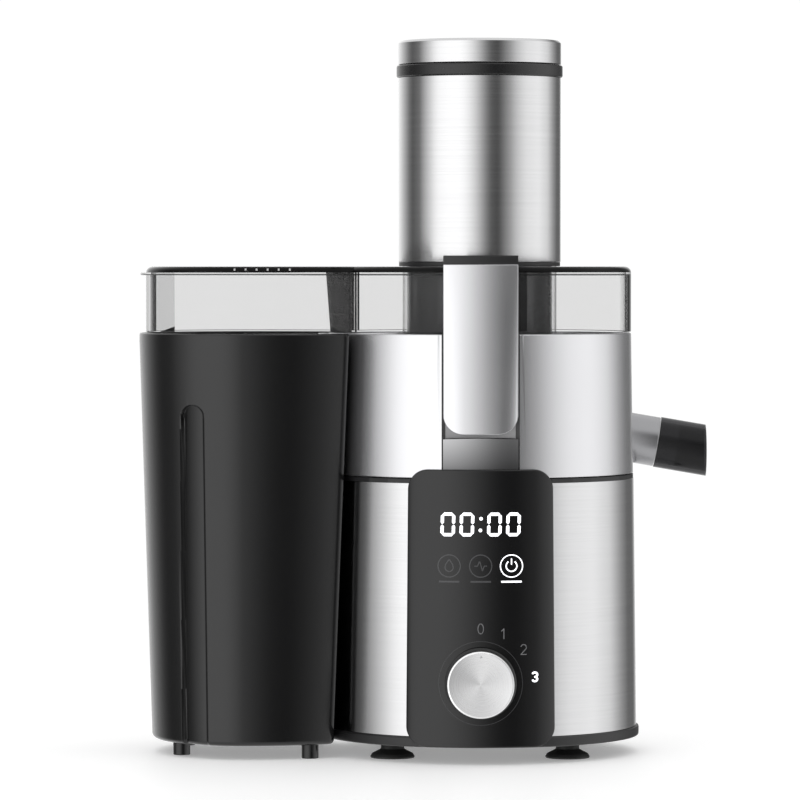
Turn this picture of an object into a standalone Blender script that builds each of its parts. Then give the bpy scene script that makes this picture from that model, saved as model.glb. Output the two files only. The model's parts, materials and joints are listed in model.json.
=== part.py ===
"""Centrifugal juicer: motor base, juice bowl, spinning basket, clear lid with a steel-clad feed tube,
pusher, two side latches and a pulp bin, each piece its own object.

Metres, +Z up, front towards -Y. The origin is the middle of the object's footprint, on the worktop.
Pieces are modelled about the motor axis, which an empty places to the right of the origin.
"""

import math

import bmesh
import bpy
from mathutils import Matrix, Vector

# ---------------------------------------------------------------- driving dimensions
STEPS = 40  # segments of a large round piece
FINE_STEPS = 20  # segments of a small round piece
GAP = 0.0003  # between pieces that touch

# Footprint about the motor axis, which sets the origin.
BIN_LEFT = 0.1990
SPOUT_TIP = 0.1322
KNOB_FACE = 0.1060
GLAND_END = 0.0960

# Base.
BASE_BOTTOM = 0.0098
RIM_TOP = 0.0154
RIM_RADIUS = 0.0933
SHELL_TOP = 0.1586
SHELL_BOTTOM_RADIUS = 0.0918
SHELL_TOP_RADIUS = 0.0895
SHELL_WALL = 0.0008
DECK_TOP = 0.1622
DECK_RADIUS = 0.0899
SKIRT_RADIUS = 0.0880
FOOT_X, FOOT_Y = 0.0505, 0.0450
SCREW_RADIUS_PLACE = 0.0800
SCREW_TURN = math.radians(20)

# Control panel and knob.
PANEL_ANGLE = math.radians(26.9)
PANEL_TOP = 0.1680
PANEL_WALL = 0.0022
KNOB_Z = 0.0468
KNOB_RADIUS = 0.0190
DISPLAY_Z = 0.1368

# Bowl.
BOWL_BOTTOM = 0.1625
BOWL_TOP = 0.2447
BOWL_BOTTOM_RADIUS = 0.0898
BOWL_TOP_RADIUS = 0.0886
BOWL_WALL = 0.0025
CHANNEL_HALF = 0.0222  # half width of the slot that each latch stands in
CHANNEL_FLOOR = 0.0750
CHANNEL_WALL = 0.0023
LEDGE_INNER = 0.0718
CHIMNEY_RADIUS = 0.0165

# Spout, sloping down to the right.
SPOUT_ANGLE = math.radians(9.7)
SPOUT_X, SPOUT_Z = 0.0895, 0.1832
SPOUT_RADIUS = 0.0144
SPOUT_BORE = 0.0108
STUB_LENGTH = 0.0142

# Lid and feed tube.
LID_BOTTOM = 0.2452
LID_TOP = 0.2833
LID_WALL = 0.0024
LID_BEVEL = 0.0040
LID_RADIUS = 0.0886
LID_FLAT = 0.0846  # flats on the front and back of the lid, where the latches bear
TUBE_BOTTOM = 0.2010
TUBE_OUTER, TUBE_INNER = 0.0450, 0.0426
SLEEVE_RADIUS = 0.0474
SLEEVE_BOTTOM, SLEEVE_TOP = 0.2860, 0.3934
RIM_RING_TOP = 0.4005
RIM_RING_RADIUS = 0.0485

# Pusher.
PUSHER_RADIUS = 0.0418
PUSHER_BOTTOM = 0.2035
CAP_RADIUS = 0.0476
CAP_TOP = 0.4148
CAP_WALL = 0.0012

# Latch, described for the front one.
PIVOT_Y, PIVOT_Z = 0.0845, 0.2030
SCOOP_RADIUS = 0.0181
LATCH_OUTER = 0.0932
LATCH_ANGLE = math.radians(13.2)
LATCH_BOTTOM, SKIN_TOP, LATCH_TOP = 0.1880, 0.2843, 0.2895

# Pulp bin: two half ellipses round BIN_X, closed by an arc round the motor axis.
BIN_X = -0.1360
BIN_FLOOR, BIN_TOP = 0.0080, 0.2447
BIN_WALL = 0.0025
BIN_LEFT_RADII = (0.0556, 0.0630)  # at the floor and at the top
BIN_RIGHT_RADII = (0.0845, 0.0970)
BIN_DEPTHS = (0.0655, 0.0727)
BIN_ARC_RADII = (0.0972, 0.0920)
COVER_INSET = 0.0040
FLUTE_ANGLE = math.radians(118)
FLUTE_TOP = 0.2030
FLUTE_DEPTH = 0.0045

# Basket.
BASKET_FLOOR = 0.1900
SCREEN_BOTTOM_RADIUS, SCREEN_TOP_RADIUS = 0.0510, 0.0650
SCREEN_TOP = 0.2380
COUPLING_TEETH = 8


# ---------------------------------------------------------------- scene helpers
def clear_scene():
    for old in list(bpy.data.objects):
        bpy.data.objects.remove(old)


def material(name, colour, roughness, metallic=0.0, alpha=1.0):
    found = bpy.data.materials.get(name)
    if found:
        return found
    made = bpy.data.materials.new(name)
    made.use_nodes = True
    shader = made.node_tree.nodes["Principled BSDF"]
    shader.inputs["Base Color"].default_value = (*colour, 1.0)
    shader.inputs["Roughness"].default_value = roughness
    shader.inputs["Metallic"].default_value = metallic
    shader.inputs["Alpha"].default_value = alpha
    return made


def brushed_steel():
    return material("brushed_steel", (0.62, 0.62, 0.63), 0.28, 1.0)


def silver_plastic():
    return material("silver_plastic", (0.72, 0.72, 0.74), 0.32, 0.6)


def black_plastic():
    return material("black_plastic", (0.03, 0.03, 0.032), 0.45)


def gloss_black():
    return material("gloss_black", (0.02, 0.02, 0.022), 0.12)


def clear_plastic():
    return material("clear_plastic", (0.90, 0.92, 0.93), 0.05, alpha=0.3)


def smoked_plastic():
    return material("smoked_plastic", (0.05, 0.05, 0.055), 0.10, alpha=0.8)


def rubber():
    return material("rubber", (0.02, 0.02, 0.02), 0.7)


def aluminium():
    return material("aluminium", (0.75, 0.75, 0.76), 0.35, 1.0)


def copper():
    return material("copper", (0.62, 0.30, 0.16), 0.4, 1.0)


def circuit_board():
    return material("circuit_board", (0.03, 0.22, 0.10), 0.5)


def steel():
    return material("steel", (0.55, 0.56, 0.58), 0.3, 1.0)


def empty(name, parent=None, location=(0, 0, 0), turn=0.0):
    made = bpy.data.objects.new(name, None)
    bpy.context.scene.collection.objects.link(made)
    made.parent = parent
    made.location = location
    made.rotation_euler = (0, 0, turn)
    return made


def add(name, points, faces, finish, parent, joint=None):
    """A closed mesh object. Its points are about the motor axis; joint is the empty it turns on, if any."""
    mesh = bpy.data.meshes.new(name)
    mesh.from_pydata([tuple(p) for p in points], [], faces)
    work = bmesh.new()
    work.from_mesh(mesh)
    bmesh.ops.remove_doubles(work, verts=work.verts, dist=1e-6)
    bmesh.ops.recalc_face_normals(work, faces=work.faces)
    work.to_mesh(mesh)
    work.free()
    if finish:
        mesh.materials.append(finish)
    mesh.shade_smooth()
    mesh.set_sharp_from_angle(angle=math.radians(35))
    made = bpy.data.objects.new(name, mesh)
    bpy.context.scene.collection.objects.link(made)
    made.parent = joint or parent
    if joint:
        made.location = -joint.location
    return made


def helper(made):
    """Hides a cutter or a piece that is only joined to another."""
    made.hide_render = True
    made.display_type = "WIRE"
    return made


def boolean(target, other, operation):
    modifier = target.modifiers.new(f"{operation.lower()} {other.name}", "BOOLEAN")
    modifier.operation = operation
    modifier.solver = "EXACT"
    modifier.object = helper(other)


def cut(target, *cutters):
    for cutter in cutters:
        boolean(target, cutter, "DIFFERENCE")


def join(target, *others):
    for other in others:
        boolean(target, other, "UNION")


# ---------------------------------------------------------------- shapes
def turned_mesh(profile, steps, start=0.0):
    """Points and faces of a closed (radius, height) profile turned round Z."""
    points, rings = [], []
    for radius, height in profile:
        if radius < 1e-7:
            rings.append([len(points)])
            points.append(Vector((0, 0, height)))
            continue
        rings.append(list(range(len(points), len(points) + steps)))
        for i in range(steps):
            angle = start + math.tau * i / steps
            points.append(Vector((radius * math.cos(angle), radius * math.sin(angle), height)))
    faces = []
    for a, b in zip(rings, rings[1:] + rings[:1]):
        for i in range(steps):
            corners = [a[i % len(a)], a[(i + 1) % len(a)], b[(i + 1) % len(b)], b[i % len(b)]]
            unique = list(dict.fromkeys(corners))
            if len(unique) > 2:
                faces.append(unique)
    return points, faces


def turned(name, profile, finish, parent, steps=STEPS, place=None, joint=None):
    """A turned piece. place is a matrix that carries the turning axis from Z to where it belongs."""
    points, faces = turned_mesh(profile, steps)
    if place:
        points = [place @ p for p in points]
    return add(name, points, faces, finish, parent, joint)


BOX_FACES = [(0, 1, 3, 2), (4, 6, 7, 5), (0, 4, 5, 1), (2, 3, 7, 6), (0, 2, 6, 4), (1, 5, 7, 3)]


def box(name, low, high, finish, parent, joint=None):
    xs, ys, zs = zip(low, high)
    points = [(x, y, z) for x in xs for y in ys for z in zs]
    return add(name, points, BOX_FACES, finish, parent, joint)


def rod(name, radius, low, high, parent, place, steps=FINE_STEPS, finish=None, joint=None):
    profile = [(0, low), (radius, low), (radius, high), (0, high)]
    return turned(name, profile, finish, parent, steps, place, joint)


def lofted(name, rings, finish, parent, joint=None):
    """A skin over rings of points, each ring as long as the next, with its two ends capped."""
    count = len(rings[0])
    points = [p for ring in rings for p in ring]
    faces = [list(range(count)), list(range(len(points) - count, len(points)))]
    for k in range(len(rings) - 1):
        for i in range(count):
            j = (i + 1) % count
            faces.append([k * count + i, k * count + j, (k + 1) * count + j, (k + 1) * count + i])
    return add(name, points, faces, finish, parent, joint)


def curved_plate(name, half_angle, low, high, inner, outer, finish, parent, columns=20, joint=None):
    """A plate bent round the motor axis at the front. low and high give its lower and upper edge at a share
    of the half angle from -1 to 1; inner and outer give its radii at a height."""
    rings = []
    for i in range(columns + 1):
        share = -math.cos(math.pi * i / columns)  # closer columns towards the rounded corners
        angle = share * half_angle
        side = Vector((math.sin(angle), -math.cos(angle), 0))
        bottom, top = low(share), high(share)
        corners = [(outer(bottom), bottom), (outer(top), top), (inner(top), top), (inner(bottom), bottom)]
        rings.append([side * radius + Vector((0, 0, height)) for radius, height in corners])
    return lofted(name, rings, finish, parent, joint)


def rounded_edge(level, corner, half_width, inward):
    """Edge height of a plate with rounded corners, as a function of the share of its half width."""

    def height(share):
        past = max(0.0, abs(share) * half_width - (half_width - corner))
        return level + inward * (corner - math.sqrt(max(0.0, corner**2 - past**2)))

    return height


def lathe_place(position, direction):
    """Matrix that carries Z to a direction and the origin to a position."""
    return Matrix.Translation(position) @ Vector(direction).to_track_quat("Z", "Y").to_matrix().to_4x4()


def along_y(x, z):
    """Turning axis that points backwards, through a point of the front plane."""
    return lathe_place((x, 0, z), (0, 1, 0))


def between(ends, share):
    return ends[0] + (ends[1] - ends[0]) * share


def taper(bottom, top, low, high):
    """Radius of a straight cone wall as a function of height."""
    return lambda height: bottom + (top - bottom) * (height - low) / (high - low)


shell_radius = taper(SHELL_BOTTOM_RADIUS, SHELL_TOP_RADIUS, RIM_TOP, SHELL_TOP)
bowl_radius = taper(BOWL_BOTTOM_RADIUS, BOWL_TOP_RADIUS, BOWL_BOTTOM, BOWL_TOP)


# ---------------------------------------------------------------- plan outlines
def egg(turn, left, right, depth):
    """Point of the bin's outline: half ellipses of different lengths either side of BIN_X."""
    reach = left if math.cos(turn) < 0 else right
    return Vector((BIN_X + reach * math.cos(turn), depth * math.sin(turn)))


def horn_turn(left, right, depth, radius):
    """Turn at which the egg meets a circle of that radius round the motor axis."""
    low, high = 0.0, math.pi / 2
    for _ in range(50):
        middle = (low + high) / 2
        if egg(middle, left, right, depth).length < radius:
            low = middle
        else:
            high = middle
    return high


def egg_turns(first, flutes):
    """Turns from the front horn round the left side to the back horn, closer together at the flutes."""
    last = math.tau - first
    turns = [first + (last - first) * i / 28 for i in range(29)]
    for middle in (FLUTE_ANGLE, math.tau - FLUTE_ANGLE) if flutes else ():
        near = [middle + math.radians(4.0) * i for i in range(-3, 4)]
        turns = [t for t in turns if not near[0] - 0.02 < t < near[-1] + 0.02] + near
    return sorted(turns)


def rounded(before, corner, after, count=3):
    """Points of a soft corner between two points."""
    found = []
    for i in range(count + 1):
        t = i / count
        found.append(before * (1 - t) ** 2 + corner * 2 * t * (1 - t) + after * t**2)
    return found


def inset(outline, distance):
    """The outline moved inwards; it runs clockwise seen from above."""
    found = []
    count = len(outline)
    for i, point in enumerate(outline):
        a = (point - outline[i - 1]).normalized()
        b = (outline[(i + 1) % count] - point).normalized()
        normal = Vector((a.y + b.y, -a.x - b.x))
        normal.normalize()
        across = max(0.6, normal.dot(Vector((a.y, -a.x))))
        found.append(point + normal * distance / across)
    return found


def flute_depth(turn, height):
    """How far the grip flutes are sunk into the bin's side at a turn and a height."""
    away = abs(abs(math.remainder(turn, math.tau)) - FLUTE_ANGLE) / math.radians(12.0)
    below = min(1.0, max(0.0, (FLUTE_TOP - height) / 0.012))
    return FLUTE_DEPTH * math.cos(min(1.0, away) * math.pi / 2) * math.sin(below * math.pi / 2)


def bin_outline(height):
    """The bin's outer outline at a height."""
    share = (height - BIN_FLOOR) / (BIN_TOP - BIN_FLOOR)
    left, right = between(BIN_LEFT_RADII, share), between(BIN_RIGHT_RADII, share)
    depth, arc = between(BIN_DEPTHS, share), between(BIN_ARC_RADII, share)
    horn = horn_turn(left, right, depth, arc)
    corner = egg(-horn, left, right, depth)
    first = horn + math.radians(3.5)
    side = []
    for turn in egg_turns(first, flutes=True):
        point = egg(-turn, left, right, depth)
        inward = Vector((BIN_X, 0)) - point
        side.append(point + inward.normalized() * flute_depth(turn, height))
    bearing = math.atan2(-corner.y, -corner.x)
    swing = bearing - math.radians(2.5)
    arc_points = []
    for i in range(9):
        angle = swing - 2 * swing * i / 8
        arc_points.append(Vector((-arc * math.cos(angle), arc * math.sin(angle))))
    mirrored = Vector((corner.x, -corner.y))
    back = rounded(side[-1], mirrored, arc_points[0])[1:-1]
    front = rounded(arc_points[-1], corner, side[0])[1:-1]
    return side + back + arc_points + front


def lid_outline():
    """The lid's outer outline: a cover over the bin that runs into the round cover over the bowl."""
    left, right = BIN_LEFT_RADII[1] - COVER_INSET, BIN_RIGHT_RADII[1] - COVER_INSET
    depth = BIN_DEPTHS[1] - COVER_INSET
    horn = horn_turn(left, right, depth, LID_RADIUS)
    side = [egg(-turn, left, right, depth) for turn in egg_turns(horn, flutes=False)]
    bearing = math.atan2(side[-1].y, side[-1].x)
    circle = []
    for i in range(1, 40):
        angle = bearing - 2 * bearing * i / 40
        y = max(-LID_FLAT, min(LID_FLAT, LID_RADIUS * math.sin(angle)))
        circle.append(Vector((LID_RADIUS * math.cos(angle), y)))
    return side + circle


def ring_at(outline, height):
    return [Vector((p.x, p.y, height)) for p in outline]


# ---------------------------------------------------------------- base
def base_tray(machine):
    ring_out, ring_in, ring_top = SKIRT_RADIUS - 0.0028, SKIRT_RADIUS - 0.0050, 0.0400
    floor_top = BASE_BOTTOM + 0.0025
    tray = turned(
        "base_tray",
        [
            (0, BASE_BOTTOM), (RIM_RADIUS - 0.0018, BASE_BOTTOM), (RIM_RADIUS, BASE_BOTTOM + 0.0018),
            (RIM_RADIUS, RIM_TOP), (RIM_RADIUS - 0.0035, RIM_TOP), (ring_out, RIM_TOP),
            (ring_out, ring_top), (ring_in, ring_top), (ring_in, floor_top), (0, floor_top),
        ],
        black_plastic(), machine,
    )
    notch = curved_plate(
        "tray_panel_notch", PANEL_ANGLE + math.radians(0.3), lambda _: BASE_BOTTOM - 0.002,
        lambda _: RIM_TOP + 0.002, shell_radius, lambda _: 0.100, None, machine, columns=6,
    )
    cut(tray, notch, gland_hole(machine, "tray_gland_hole"), foot_sockets(machine))
    face = BASE_BOTTOM + 0.0012
    stepped = [(0, 0), (0.0042, 0), (0.0042, face), (0.0023, face), (0.0023, 0.050), (0, 0.050)]
    sinks = ring_of(
        machine, "tray_screw_holes", 4, SCREW_RADIUS_PLACE, lambda: turned_mesh(stepped, 12), SCREW_TURN
    )
    cut(tray, vent_slots(machine), sinks)
    return tray


def ring_of(machine, name, count, radius, make, first=0.0):
    """Several copies of a mesh spaced round the motor axis, as one helper."""
    points, faces = [], []
    for i in range(count):
        turn = Matrix.Rotation(first + math.tau * i / count, 4, "Z") @ Matrix.Translation((radius, 0, 0))
        some, sides = make()
        faces += [[k + len(points) for k in side] for side in sides]
        points += [turn @ p for p in some]
    return add(name, points, faces, None, machine)


def block(length, width, low, high):
    xs, ys = (-length / 2, length / 2), (-width / 2, width / 2)
    return [Vector((x, y, z)) for x in xs for y in ys for z in (low, high)], BOX_FACES


def peg(radius, low, high, steps=12):
    return turned_mesh([(0, low), (radius, low), (radius, high), (0, high)], steps)


def vent_slots(machine):
    low, high = BASE_BOTTOM - 0.002, BASE_BOTTOM + 0.006
    return ring_of(machine, "vent_slots", 12, 0.034, lambda: block(0.022, 0.0032, low, high))


def screw_holes(machine, name, radius, low, high):
    return ring_of(machine, name, 4, SCREW_RADIUS_PLACE, lambda: peg(radius, low, high), SCREW_TURN)


def foot_sockets(machine):
    points, faces = [], []
    for x, y in foot_places():
        some, sides = peg(0.0064, BASE_BOTTOM - 0.001, BASE_BOTTOM + 0.0015, 16)
        faces += [[k + len(points) for k in side] for side in sides]
        points += [p + Vector((x, y, 0)) for p in some]
    return add("foot_sockets", points, faces, None, machine)


def gland_hole(machine, name):
    return rod(name, 0.0074, 0.070, 0.100, machine, along_y(0, 0.030), 16)


def foot_places():
    return [(x, y) for y in (-FOOT_Y, FOOT_Y) for x in (-FOOT_X, FOOT_X)]


def feet(machine):
    top = BASE_BOTTOM + 0.0012
    profile = [
        (0, 0.0), (0.0128, 0.0), (0.0128, 0.0016), (0.0080, 0.0040),
        (0.0060, 0.0050), (0.0060, top), (0, top),
    ]
    names = ("foot_front_left", "foot_front_right", "foot_back_left", "foot_back_right")
    for name, (x, y) in zip(names, foot_places()):
        turned(name, profile, rubber(), machine, FINE_STEPS, Matrix.Translation((x, y, 0)))


def base_screws(machine):
    head_low, head_top = BASE_BOTTOM - 0.0008, BASE_BOTTOM + 0.0009
    profile = [
        (0, head_low), (0.0036, head_low), (0.0036, head_top), (0.0019, head_top), (0.0019, 0.0515),
        (0, 0.0515),
    ]
    out = Matrix.Translation((SCREW_RADIUS_PLACE, 0, 0))
    for i in range(4):
        turn = Matrix.Rotation(SCREW_TURN + math.tau * i / 4, 4, "Z") @ out
        turned(f"base_screw_{i + 1}", profile, steel(), machine, 12, turn)


def motor_housing(machine):
    """Deck that carries the motor, with a hub that stands up inside the bowl's chimney."""
    under = SHELL_TOP + GAP
    housing = turned(
        "motor_housing",
        [
            (0.0060, under - 0.006), (0.0150, under - 0.006), (0.0150, under), (DECK_RADIUS, under),
            (DECK_RADIUS, DECK_TOP), (0.0145, DECK_TOP), (0.0145, 0.1710), (0.0090, 0.1710), (0.0090, 0.1660),
            (0.0060, 0.1660),
        ],
        black_plastic(), machine,
    )
    posts = ring_of(machine, "motor_posts", 4, 0.054, lambda: peg(0.005, 0.1333, under + 0.001), math.pi / 4)
    join(housing, posts)


def motor_skirt(machine):
    """Tube between the tray and the deck, with the bosses that take the base screws."""
    inner, bottom = SKIRT_RADIUS - 0.0025, 0.0160
    skirt = turned(
        "motor_skirt",
        [(inner, bottom), (SKIRT_RADIUS, bottom), (SKIRT_RADIUS, SHELL_TOP), (inner, SHELL_TOP)],
        black_plastic(), machine,
    )
    boss_radius = SCREW_RADIUS_PLACE + 0.0006
    bosses = ring_of(machine, "screw_bosses", 4, boss_radius, lambda: peg(0.0056, 0.042, 0.0585), SCREW_TURN)
    join(skirt, bosses)
    cut(skirt, screw_holes(machine, "boss_holes", 0.0022, 0.030, 0.055))
    cut(skirt, gland_hole(machine, "skirt_gland_hole"), spindle_hole(machine, "skirt_spindle_hole"))
    cut(skirt, display_window(machine, "skirt_display_window"))


def spindle_hole(machine, name):
    return rod(name, 0.0046, -0.100, -0.080, machine, along_y(0, KNOB_Z), 16)


def display_window(machine, name):
    return box(name, (-0.032, -0.096, 0.098), (0.032, -0.080, 0.150), None, machine)


def body_shell(machine):
    shell = turned(
        "body_shell",
        [
            (SHELL_BOTTOM_RADIUS - SHELL_WALL, RIM_TOP + GAP), (SHELL_BOTTOM_RADIUS, RIM_TOP + GAP),
            (SHELL_TOP_RADIUS, SHELL_TOP), (SHELL_TOP_RADIUS - SHELL_WALL, SHELL_TOP),
        ],
        brushed_steel(), machine, 48,
    )
    cut(shell, gland_hole(machine, "shell_gland_hole"), spindle_hole(machine, "shell_spindle_hole"))
    cut(shell, display_window(machine, "shell_display_window"))


def control_panel(machine):
    low = rounded_edge(BASE_BOTTOM + 0.0002, 0.008, PANEL_ANGLE * RIM_RADIUS, 1)
    high = rounded_edge(PANEL_TOP, 0.012, PANEL_ANGLE * RIM_RADIUS, -1)
    panel = curved_plate(
        "control_panel", PANEL_ANGLE, low, high, lambda z: shell_radius(z) + GAP + 0.0002,
        lambda z: shell_radius(z) + GAP + PANEL_WALL, gloss_black(), machine, columns=24,
    )
    cut(panel, spindle_hole(machine, "panel_spindle_hole"))


def electronics(machine):
    box("display_board", (-0.030, -0.0785, 0.096), (0.030, -0.0770, 0.152), circuit_board(), machine)
    box("display_module", (-0.024, -0.0855, 0.128), (0.024, -0.0788, 0.146), black_plastic(), machine)
    box("power_board", (-0.030, 0.0700, 0.060), (0.030, 0.0716, 0.130), circuit_board(), machine)
    low, high = KNOB_Z - 0.009, KNOB_Z + 0.009
    box("speed_switch", (-0.009, -0.0800, low), (0.009, -0.0690, high), black_plastic(), machine)
    box("safety_switch", (-0.010, -0.0740, 0.1500), (0.010, -0.0680, 0.1580), black_plastic(), machine)


def cord_gland(machine):
    profile = [
        (0.0038, 0.0800), (0.0070, 0.0800), (0.0070, 0.0926), (0.0095, 0.0926), (0.0095, 0.0945),
        (0.0080, GLAND_END), (0.0038, GLAND_END),
    ]
    turned("cord_gland", profile, rubber(), machine, FINE_STEPS, along_y(0, 0.030))


# ---------------------------------------------------------------- motor
def sector_mesh(inner, outer, middle, half, low, high, steps=8):
    rings = []
    for i in range(steps + 1):
        angle = middle - half + 2 * half * i / steps
        side = Vector((math.cos(angle), math.sin(angle), 0))
        corners = ((outer, low), (outer, high), (inner, high), (inner, low))
        rings.append([side * radius + Vector((0, 0, height)) for radius, height in corners])
    return rings


def stator(machine):
    low, high = 0.078, 0.118
    yoke = [(0.0366, low), (0.0440, low), (0.0440, high), (0.0366, high)]
    core = turned("stator_core", yoke, steel(), machine, 36)
    for side, middle in (("front", -math.pi / 2), ("back", math.pi / 2)):
        rings = sector_mesh(0.0265, 0.0380, middle, math.radians(32), low + 0.0004, high - 0.0004, 7)
        join(core, lofted(f"pole_{side}", rings, None, machine))
    for side, middle in (("right", 0.0), ("left", math.pi)):
        rings = sector_mesh(0.0273, 0.0362, middle, math.radians(48), low - 0.006, high + 0.006)
        lofted(f"field_coil_{side}", rings, copper(), machine)


def brackets(machine):
    low = turned(
        "lower_bracket",
        [
            (0.0082, 0.040), (0.0460, 0.040), (0.0460, 0.044), (0.0110, 0.044), (0.0110, 0.0475),
            (0.0082, 0.0475),
        ],
        aluminium(), machine, 36,
    )
    high = turned(
        "upper_bracket",
        [
            (0.0112, 0.1230), (0.0140, 0.1230), (0.0140, 0.1285), (0.0600, 0.1285), (0.0600, 0.1330),
            (0.0112, 0.1330),
        ],
        aluminium(), machine, 36,
    )
    for name, target, bottom, top in (("lower", low, 0.043, 0.0777), ("upper", high, 0.1183, 0.1290)):
        for side, middle in (("front", -math.pi / 2), ("back", math.pi / 2)):
            rings = sector_mesh(0.0400, 0.0438, middle, math.radians(14), bottom, top, 4)
            join(target, lofted(f"{name}_strut_{side}", rings, None, machine))
    for name, outer, bottom, top in (
        ("lower_bearing", 0.0079, 0.0410, 0.0465), ("upper_bearing", 0.0109, 0.1245, 0.1315),
    ):
        race = [(0.0043, bottom), (outer, bottom), (outer, top), (0.0043, top)]
        turned(name, race, steel(), machine, FINE_STEPS)
    lips = [(0.0043, 0.1663), (0.0087, 0.1663), (0.0087, 0.1706), (0.0062, 0.1706), (0.0043, 0.1690)]
    turned("shaft_seal", lips, rubber(), machine, FINE_STEPS)


def rotor(machine):
    rod("motor_shaft", 0.0039, 0.034, 0.1860, machine, Matrix(), 20, steel())
    sleeve_radius = 0.0042
    for name, outer, low, high, finish, steps in (
        ("armature", 0.0256, 0.080, 0.116, steel(), 36),
        ("commutator", 0.0120, 0.056, 0.070, copper(), FINE_STEPS),
    ):
        profile = [(sleeve_radius, low), (outer, low), (outer, high), (sleeve_radius, high)]
        turned(name, profile, finish, machine, steps)
    disc = [
        (sleeve_radius, 0.1370), (0.0340, 0.1370), (0.0340, 0.1385), (0.0085, 0.1385), (0.0085, 0.1480),
        (sleeve_radius, 0.1480),
    ]
    fan = turned("cooling_fan", disc, black_plastic(), machine, 32)
    join(fan, ring_of(machine, "fan_blades", 9, 0.0205, lambda: block(0.0250, 0.0016, 0.1380, 0.1470)))
    toothed("drive_coupling", 0.0110, 0.0088, 0.1730, 0.1880, machine, black_plastic(), bore=sleeve_radius)


def toothed_outline(tip, root):
    """Star of square teeth, four points to a tooth."""
    found = []
    for i in range(COUPLING_TEETH):
        middle = math.tau * i / COUPLING_TEETH
        for radius, share in ((root, -0.30), (tip, -0.20), (tip, 0.20), (root, 0.30)):
            angle = middle + share * math.tau / COUPLING_TEETH
            found.append(Vector((radius * math.cos(angle), radius * math.sin(angle))))
    return found


def toothed(name, tip, root, low, high, parent, finish, bore=0.0):
    made = lofted(name, [ring_at(toothed_outline(tip, root), z) for z in (low, high)], finish, parent)
    if bore:
        cut(made, rod(f"{name}_bore", bore, low - 0.001, high + 0.001, parent, Matrix(), 20))
    return made


# ---------------------------------------------------------------- bowl and basket
def juice_bowl(machine):
    """Round tub with a chimney in the middle and a channel at the front and back for the latches."""

    def inner(height):
        return bowl_radius(height) - BOWL_WALL

    floor_low, floor_top = 0.1650, 0.1675
    chimney_outer, chimney_top = CHIMNEY_RADIUS + 0.0022, 0.1840
    bowl = turned(
        "juice_bowl",
        [
            (CHIMNEY_RADIUS, floor_low), (inner(BOWL_BOTTOM), floor_low),
            (inner(BOWL_BOTTOM), BOWL_BOTTOM + GAP),
            (bowl_radius(BOWL_BOTTOM), BOWL_BOTTOM + GAP), (bowl_radius(BOWL_TOP), BOWL_TOP),
            (inner(BOWL_TOP), BOWL_TOP), (inner(floor_top), floor_top), (chimney_outer, floor_top),
            (chimney_outer, chimney_top), (CHIMNEY_RADIUS, chimney_top),
        ],
        silver_plastic(), machine, 48,
    )
    wall = CHANNEL_HALF + CHANNEL_WALL
    low, high = BOWL_BOTTOM + 0.0006, BOWL_TOP - 0.0002
    for side, sign in (("front", -1), ("back", 1)):
        near, far = sorted((sign * (CHANNEL_FLOOR - CHANNEL_WALL), sign * 0.0855))
        join(bowl, box(f"channel_wall_{side}", (-wall, near, low), (wall, far, high), None, machine))
        near, far = sorted((sign * CHANNEL_FLOOR, sign * 0.1000))
        slot = box(f"channel_{side}", (-CHANNEL_HALF, near, 0.150), (CHANNEL_HALF, far, 0.260), None, machine)
        cut(bowl, slot)
    cut(bowl, rod("stub_hole", SPOUT_RADIUS + GAP, -0.012, 0.020, machine, spout_place(), 32))


def bowl_ledge(machine):
    """Flat ring inside the bowl's rim that throws the pulp outwards, notched round the latch channels."""
    low, high = 0.2345, 0.2368
    outer = bowl_radius(high) - BOWL_WALL - GAP
    ring = turned(
        "bowl_ledge", [(LEDGE_INNER, low), (outer, low), (outer, high), (LEDGE_INNER, high)],
        silver_plastic(), machine, 48,
    )
    half = CHANNEL_HALF + CHANNEL_WALL + GAP
    for side, sign in (("front", -1), ("back", 1)):
        near, far = sorted((sign * (CHANNEL_FLOOR - CHANNEL_WALL - GAP), sign * 0.1000))
        corners = (-half, near, low - 0.001), (half, far, high + 0.001)
        cut(ring, box(f"ledge_notch_{side}", *corners, None, machine))


def spout_stub(machine):
    """Short tube that carries the juice out through the bowl's wall."""
    step, low, wall = STUB_LENGTH, -0.004, 0.002
    turned(
        "spout_stub",
        [
            (SPOUT_BORE, low), (SPOUT_RADIUS, low), (SPOUT_RADIUS, step), (SPOUT_RADIUS - wall, step),
            (SPOUT_RADIUS - wall, step + 0.012), (SPOUT_BORE, step + 0.012),
        ],
        silver_plastic(), machine, 32, spout_place(),
    )


def spout_place():
    direction = (math.cos(SPOUT_ANGLE), 0, -math.sin(SPOUT_ANGLE))
    return lathe_place((SPOUT_X, 0, SPOUT_Z), direction)


def spout_nozzle(machine):
    low = STUB_LENGTH + GAP
    bore = SPOUT_RADIUS - 0.002 + GAP
    joint = empty("nozzle_slide", machine, (SPOUT_X, 0, SPOUT_Z))
    outer, end = SPOUT_RADIUS + 0.0004, 0.060
    nozzle = turned(
        "spout_nozzle", [(bore, low), (outer, low), (outer, end), (bore, end)],
        smoked_plastic(), machine, 32, spout_place(), joint,
    )
    past = box("nozzle_end", (SPOUT_TIP, -0.030, 0.130), (SPOUT_TIP + 0.040, 0.030, 0.220), None, machine)
    cut(nozzle, past)


def bowl_seal(machine):
    low, high = DECK_TOP + GAP, 0.1647
    profile = [(0.0151, low), (0.0230, low), (0.0230, high), (0.0151, high)]
    turned("bowl_seal", profile, rubber(), machine, 32)


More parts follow.
